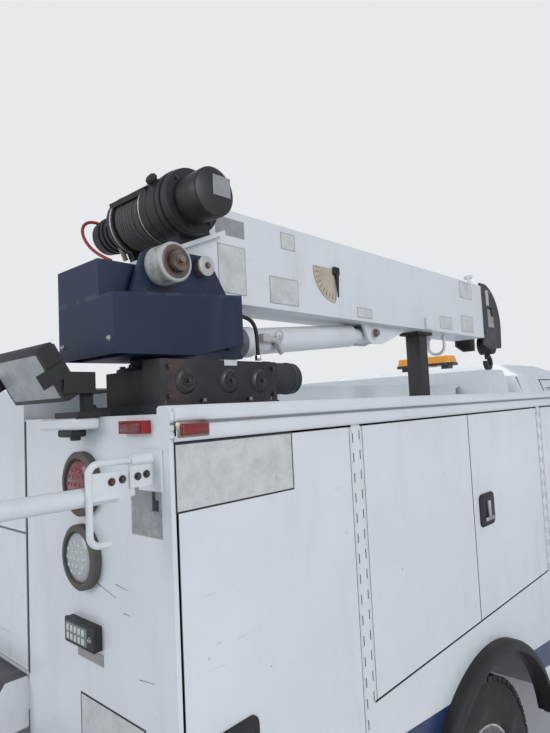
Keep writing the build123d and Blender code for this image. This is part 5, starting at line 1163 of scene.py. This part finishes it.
class TRUCK_OT_cab_seat(bpy.types.Operator):
    """Padded bench of the cab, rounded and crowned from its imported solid"""

    bl_idname = "truck.cab_seat"
    bl_label = "Cab Seat"

    voxel = 0.012
    # Sewn channels across the bench, and the distance between them
    seams = (-0.46, -0.23, 0.0, 0.23, 0.46)
    channel = 0.23

    def execute(self, context):
        seat = make("cab_bench", "cloth", "seat_cloth", self.shrunk)
        remesh = seat.modifiers.new("even", "REMESH")
        remesh.mode = "VOXEL"
        remesh.voxel_size = self.voxel
        remesh.use_smooth_shade = True
        self.keep(seat)
        soft = bmesh.new()
        soft.from_mesh(seat.data)
        for turn in range(10):
            bmesh.ops.smooth_vert(soft, verts=soft.verts[:], factor=0.5, use_axis_x=True, use_axis_y=True,
                                  use_axis_z=True)
        soft.normal_update()
        for vert in soft.verts:
            crown = 0.006 * math.cos(math.pi * (vert.co.y / self.channel + 1)) ** 2
            seam = sum(math.exp(-((vert.co.y - line) / 0.012) ** 2) for line in self.seams)
            vert.co += vert.normal * (0.008 + crown - 0.009 * seam)
        soft.to_mesh(seat.data)
        soft.free()
        low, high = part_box("cab_seat")
        for vert in seat.data.vertices:
            vert.co = Vector([min(max(value, least + 0.001), most - 0.001)
                              for value, least, most in zip(vert.co, low, high)])
        smooth = seat.modifiers.new("smooth", "SUBSURF")
        smooth.levels = smooth.render_levels = 1
        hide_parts("cab_seat")
        return {"FINISHED"}

    def shrunk(self, mesh):
        """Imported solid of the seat, 10 mm smaller all round."""
        mesh.from_mesh(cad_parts["cab_seat"].data)
        bmesh.ops.remove_doubles(mesh, verts=mesh.verts[:], dist=0.0001)
        bmesh.ops.recalc_face_normals(mesh, faces=mesh.faces[:])
        mesh.normal_update()
        for vert in mesh.verts:
            vert.co -= vert.normal * 0.010

    def keep(self, piece):
        """Take the modified shape as the piece's own mesh."""
        shaped = piece.evaluated_get(bpy.context.evaluated_depsgraph_get())
        data = bpy.data.meshes.new_from_object(shaped)
        piece.modifiers.clear()
        piece.data = data


class TRUCK_OT_work_light(bpy.types.Operator):
    """Lens, rim, fins and shelf of the work light"""

    bl_idname = "truck.work_light"
    bl_label = "Work Light"

    tilt = 0.54

    def execute(self, context):
        centre = Vector((rear_wall_x - 0.084, -side_face_y + 0.352, pack_roof_z + 0.092))
        out = Vector((-math.cos(self.tilt), 0, -math.sin(self.tilt)))
        up = Vector((-math.sin(self.tilt), 0, math.cos(self.tilt)))
        along = up.cross(out)
        axes = Matrix((along, up, out)).transposed().to_4x4()
        make("work_light_lens", "work_glass", "clear_glass",
             block(centre + out * 0.0185, (0.214, 0.096, 0.003), 0.0012, 2, axes))
        make("work_light_frame", "black", "black_plastic",
             block(centre + out * 0.0165, (0.236, 0.116, 0.004), 0.0018, 2, axes))
        make("work_light_fins", "black", "black_plastic", *(
            sheet(centre - out * 0.022 + along * column * 0.020, (0.004, 0.100, 0.014), 0.001, axes)
            for column in range(-5, 6)))

        def at(outward, inset, drop):
            return rear_wall_x - outward, -side_face_y + inset, pack_roof_z - drop
        make("work_light_shelf", "white", "white_paint",
             block(at(0.028, 0.309, 0.012), (0.058, 0.156, 0.024), 0.007, 3))
        make("work_light_knob", "plastic", "black_plastic",
             block(at(0.034, 0.284, 0.031), (0.034, 0.062, 0.016), 0.005, 3),
             bar(at(0.034, 0.270, 0.024), at(0.034, 0.270, 0.046), 0.011, 8, bevel=0.002))
        return {"FINISHED"}


class TRUCK_OT_rear_wall(bpy.types.Operator):
    """Bolts of the cone holder, the film beside it, the body's seals and the scratches of the rear wall"""

    bl_idname = "truck.rear_wall"
    bl_label = "Rear Wall"

    # Bolts of the cone holder: place along the truck, face that they stand on, height
    bolts = ((-2.873, -1.144, 1.639), (-2.852, -1.144, 1.641), (-2.824, -1.149, 1.643), (-2.806, -1.149, 1.645))
    # Scratches: first end across and up, second end across and up
    scratches = (((-0.936, 1.412), (-1.006, 1.396)), ((-1.004, 1.422), (-1.050, 1.417)),
                 ((-1.030, 1.372), (-1.052, 1.371)), ((-1.080, 1.262), (-1.128, 1.268)))
    # The film's middle, and the two parts of the spot on it: place across and up
    film, spot, drip = (-1.118, 1.5775), (-1.150, 1.586), (-1.145, 1.604)

    def execute(self, context):
        make("cone_holder_bolts", "dark_steel", "steel_dark", *(bolt(place, rightward, 0.0075) for place in self.bolts))
        make("rear_wall_film", "film", "clear_glass",
             block((rear_wall_x - 0.0008, *self.film), (0.0016, 0.098, 0.101), 0.0006))
        make("film_spot", "black", "black_plastic",
             block((rear_wall_x - 0.0022, *self.spot), (0.0016, 0.018, 0.020), 0.0007),
             sheet((rear_wall_x - 0.0022, *self.drip), (0.0012, 0.008, 0.018), 0.0005))
        low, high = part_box("tailgate")[0].z, pack_roof_z - 0.004
        for side, sign in sides:
            make(f"{side}_body_seal", "plastic", "black_plastic",
                 sheet((rear_wall_x + 0.0012, sign * (pack_inner_y + 0.0022), (low + high) / 2),
                       (0.0040, 0.0052, high - low), 0.0008))
        make("rear_wall_scratches", "dark_steel", "steel_dark", *(
            bar((rear_wall_x, *first), (rear_wall_x, *second), 0.0007, 6, 0.0004)
            for first, second in self.scratches))
        return {"FINISHED"}


class TRUCK_OT_studio(bpy.types.Operator):
    """Pale floor, soft lamps and the camera at the photograph's angle"""

    bl_idname = "truck.studio"
    bl_label = "Studio"

    background = (0.80, 0.82, 0.84)
    sky = (0.80, 0.87, 1.0)
    # Name, place, target, size and power of each lamp
    lamps = (("key_lamp", (4.0, 3.0, 8.0), (-1.5, -0.6, 1.8), 8.5, 270),
             ("side_lamp", (-3.0, -9.0, 5.0), (-1.5, -0.6, 1.6), 5.0, 300),
             ("back_lamp", (-9.5, 1.5, 4.5), (-2.0, 0.0, 1.6), 4.0, 180))
    # The fitted camera: its place, and its own axes in the frame
    eye = (-3.39265, -2.01508, 1.75529)
    axes = ((0.67952, -0.73212, -0.04753), (-0.01888, -0.08221, 0.99644), (-0.73342, -0.67620, -0.06968))
    focal_length = 27.67

    def execute(self, context):
        self.floor()
        self.world(context.scene)
        for name, spot, target, size, power in self.lamps:
            lamp = bpy.data.lights.new(name, "AREA")
            lamp.shape = "DISK"
            lamp.size = size
            lamp.energy = power
            holder = self.placed(name, lamp)
            holder.location = spot
            holder.rotation_euler = (Vector(target) - Vector(spot)).to_track_quat("-Z", "Y").to_euler()
        lens = bpy.data.cameras.new("photo_camera")
        lens.lens = self.focal_length
        lens.sensor_width = 36
        lens.clip_start = 0.05
        lens.clip_end = 300
        camera = self.placed("photo_camera", lens)
        camera.matrix_world = Matrix.Translation(self.eye) @ Matrix(self.axes).transposed().to_4x4()
        context.scene.camera = camera
        context.scene.view_settings.view_transform = "Standard"
        return {"FINISHED"}

    def placed(self, name, data):
        thing = bpy.data.objects.new(name, data)
        bpy.context.scene.collection.objects.link(thing)
        return thing

    def floor(self):
        """Wide floor that runs out into the background's colour, for what sees it."""
        mesh = bmesh.new()
        bmesh.ops.create_grid(mesh, x_segments=2, y_segments=2, size=60)
        data = bpy.data.meshes.new("studio_floor")
        mesh.to_mesh(data)
        mesh.free()
        ground = self.placed("studio_floor", data)
        shade = Shade("studio_floor")
        colour = Vector(colours().floor_colour)
        shade.set(Base_Color=shade.mix(shade.noise(40, 4, 0.6), colour, colour * 0.97), Roughness=0.9)
        x, y, z = shade.place()
        seen = shade.add("LightPath").outputs
        seen = shade.most(seen["Is Camera Ray"], seen["Is Glossy Ray"], seen["Is Transmission Ray"])
        far = shade.times(shade.ramp(shade.distance(x, y, 0, 0), 5.5, 13.0), seen)
        plain = shade.add("Emission", Color=self.background)
        blend = shade.add("MixShader", Fac=far)
        for result, socket in ((shade.surface, blend.inputs[1]), (plain, blend.inputs[2]),
                               (blend, shade.output.inputs[0])):
            shade.tree.links.new(result.outputs[0], socket)
        data.materials.append(shade.material)

    def world(self, scene):
        """Soft light from the sky, with a plain background where the camera sees it."""
        scene.world = bpy.data.worlds.new("studio")
        scene.world.use_nodes = True
        nodes, links = scene.world.node_tree.nodes, scene.world.node_tree.links
        nodes.clear()
        output, path, either, both, light, shown = [nodes.new("ShaderNode" + kind) for kind in (
            "OutputWorld", "LightPath", "Math", "MixShader", "Background", "Background")]
        for node, colour, strength in ((light, self.sky, 0.55), (shown, self.background, 1.0)):
            node.inputs[0].default_value = (*colour, 1)
            node.inputs[1].default_value = strength
        either.operation = "MAXIMUM"
        for result, socket in ((path.outputs["Is Camera Ray"], either.inputs[0]),
                               (path.outputs["Is Transmission Ray"], either.inputs[1]),
                               (either.outputs[0], both.inputs[0]), (light.outputs[0], both.inputs[1]),
                               (shown.outputs[0], both.inputs[2]), (both.outputs[0], output.inputs[0])):
            links.new(result, socket)


class TRUCK_PT_finish(bpy.types.Panel):
    """Colours, sizes and pieces of the crane truck"""

    bl_idname = "TRUCK_PT_finish"
    bl_label = "Crane Truck"
    bl_space_type = "VIEW_3D"
    bl_region_type = "UI"
    bl_category = "Truck"

    def draw(self, context):
        for group in (context.scene.truck_colours, context.scene.truck_sizes):
            for name in group.__annotations__:
                self.layout.prop(group, name)
        for operator in operators:
            self.layout.operator(operator.bl_idname)


operators = (
    TRUCK_OT_studio,
    TRUCK_OT_cad_finishes,
    TRUCK_OT_rear_lamps,
    TRUCK_OT_pack_latches,
    TRUCK_OT_pack_rails,
    TRUCK_OT_crane_labels,
    TRUCK_OT_crane_details,
    TRUCK_OT_tyres,
    TRUCK_OT_cab_details,
    TRUCK_OT_cab_seat,
    TRUCK_OT_work_light,
    TRUCK_OT_rear_wall,
)
classes = (TruckColours, TruckSizes, *operators, TRUCK_PT_finish)


def register():
    for item in classes:
        bpy.utils.register_class(item)
    bpy.types.Scene.truck_colours = bpy.props.PointerProperty(type=TruckColours)
    bpy.types.Scene.truck_sizes = bpy.props.PointerProperty(type=TruckSizes)


def unregister():
    del bpy.types.Scene.truck_sizes
    del bpy.types.Scene.truck_colours
    for item in reversed(classes):
        bpy.utils.unregister_class(item)


def main():
    register()
    bpy.ops.truck.studio()
    bpy.ops.truck.cad_finishes()
    bpy.ops.truck.rear_lamps()
    bpy.ops.truck.pack_latches()
    bpy.ops.truck.pack_rails()
    bpy.ops.truck.crane_labels()
    bpy.ops.truck.crane_details()
    bpy.ops.truck.tyres()
    bpy.ops.truck.cab_details()
    bpy.ops.truck.cab_seat()
    bpy.ops.truck.work_light()
    bpy.ops.truck.rear_wall()


if __name__ == "__main__":
    main()
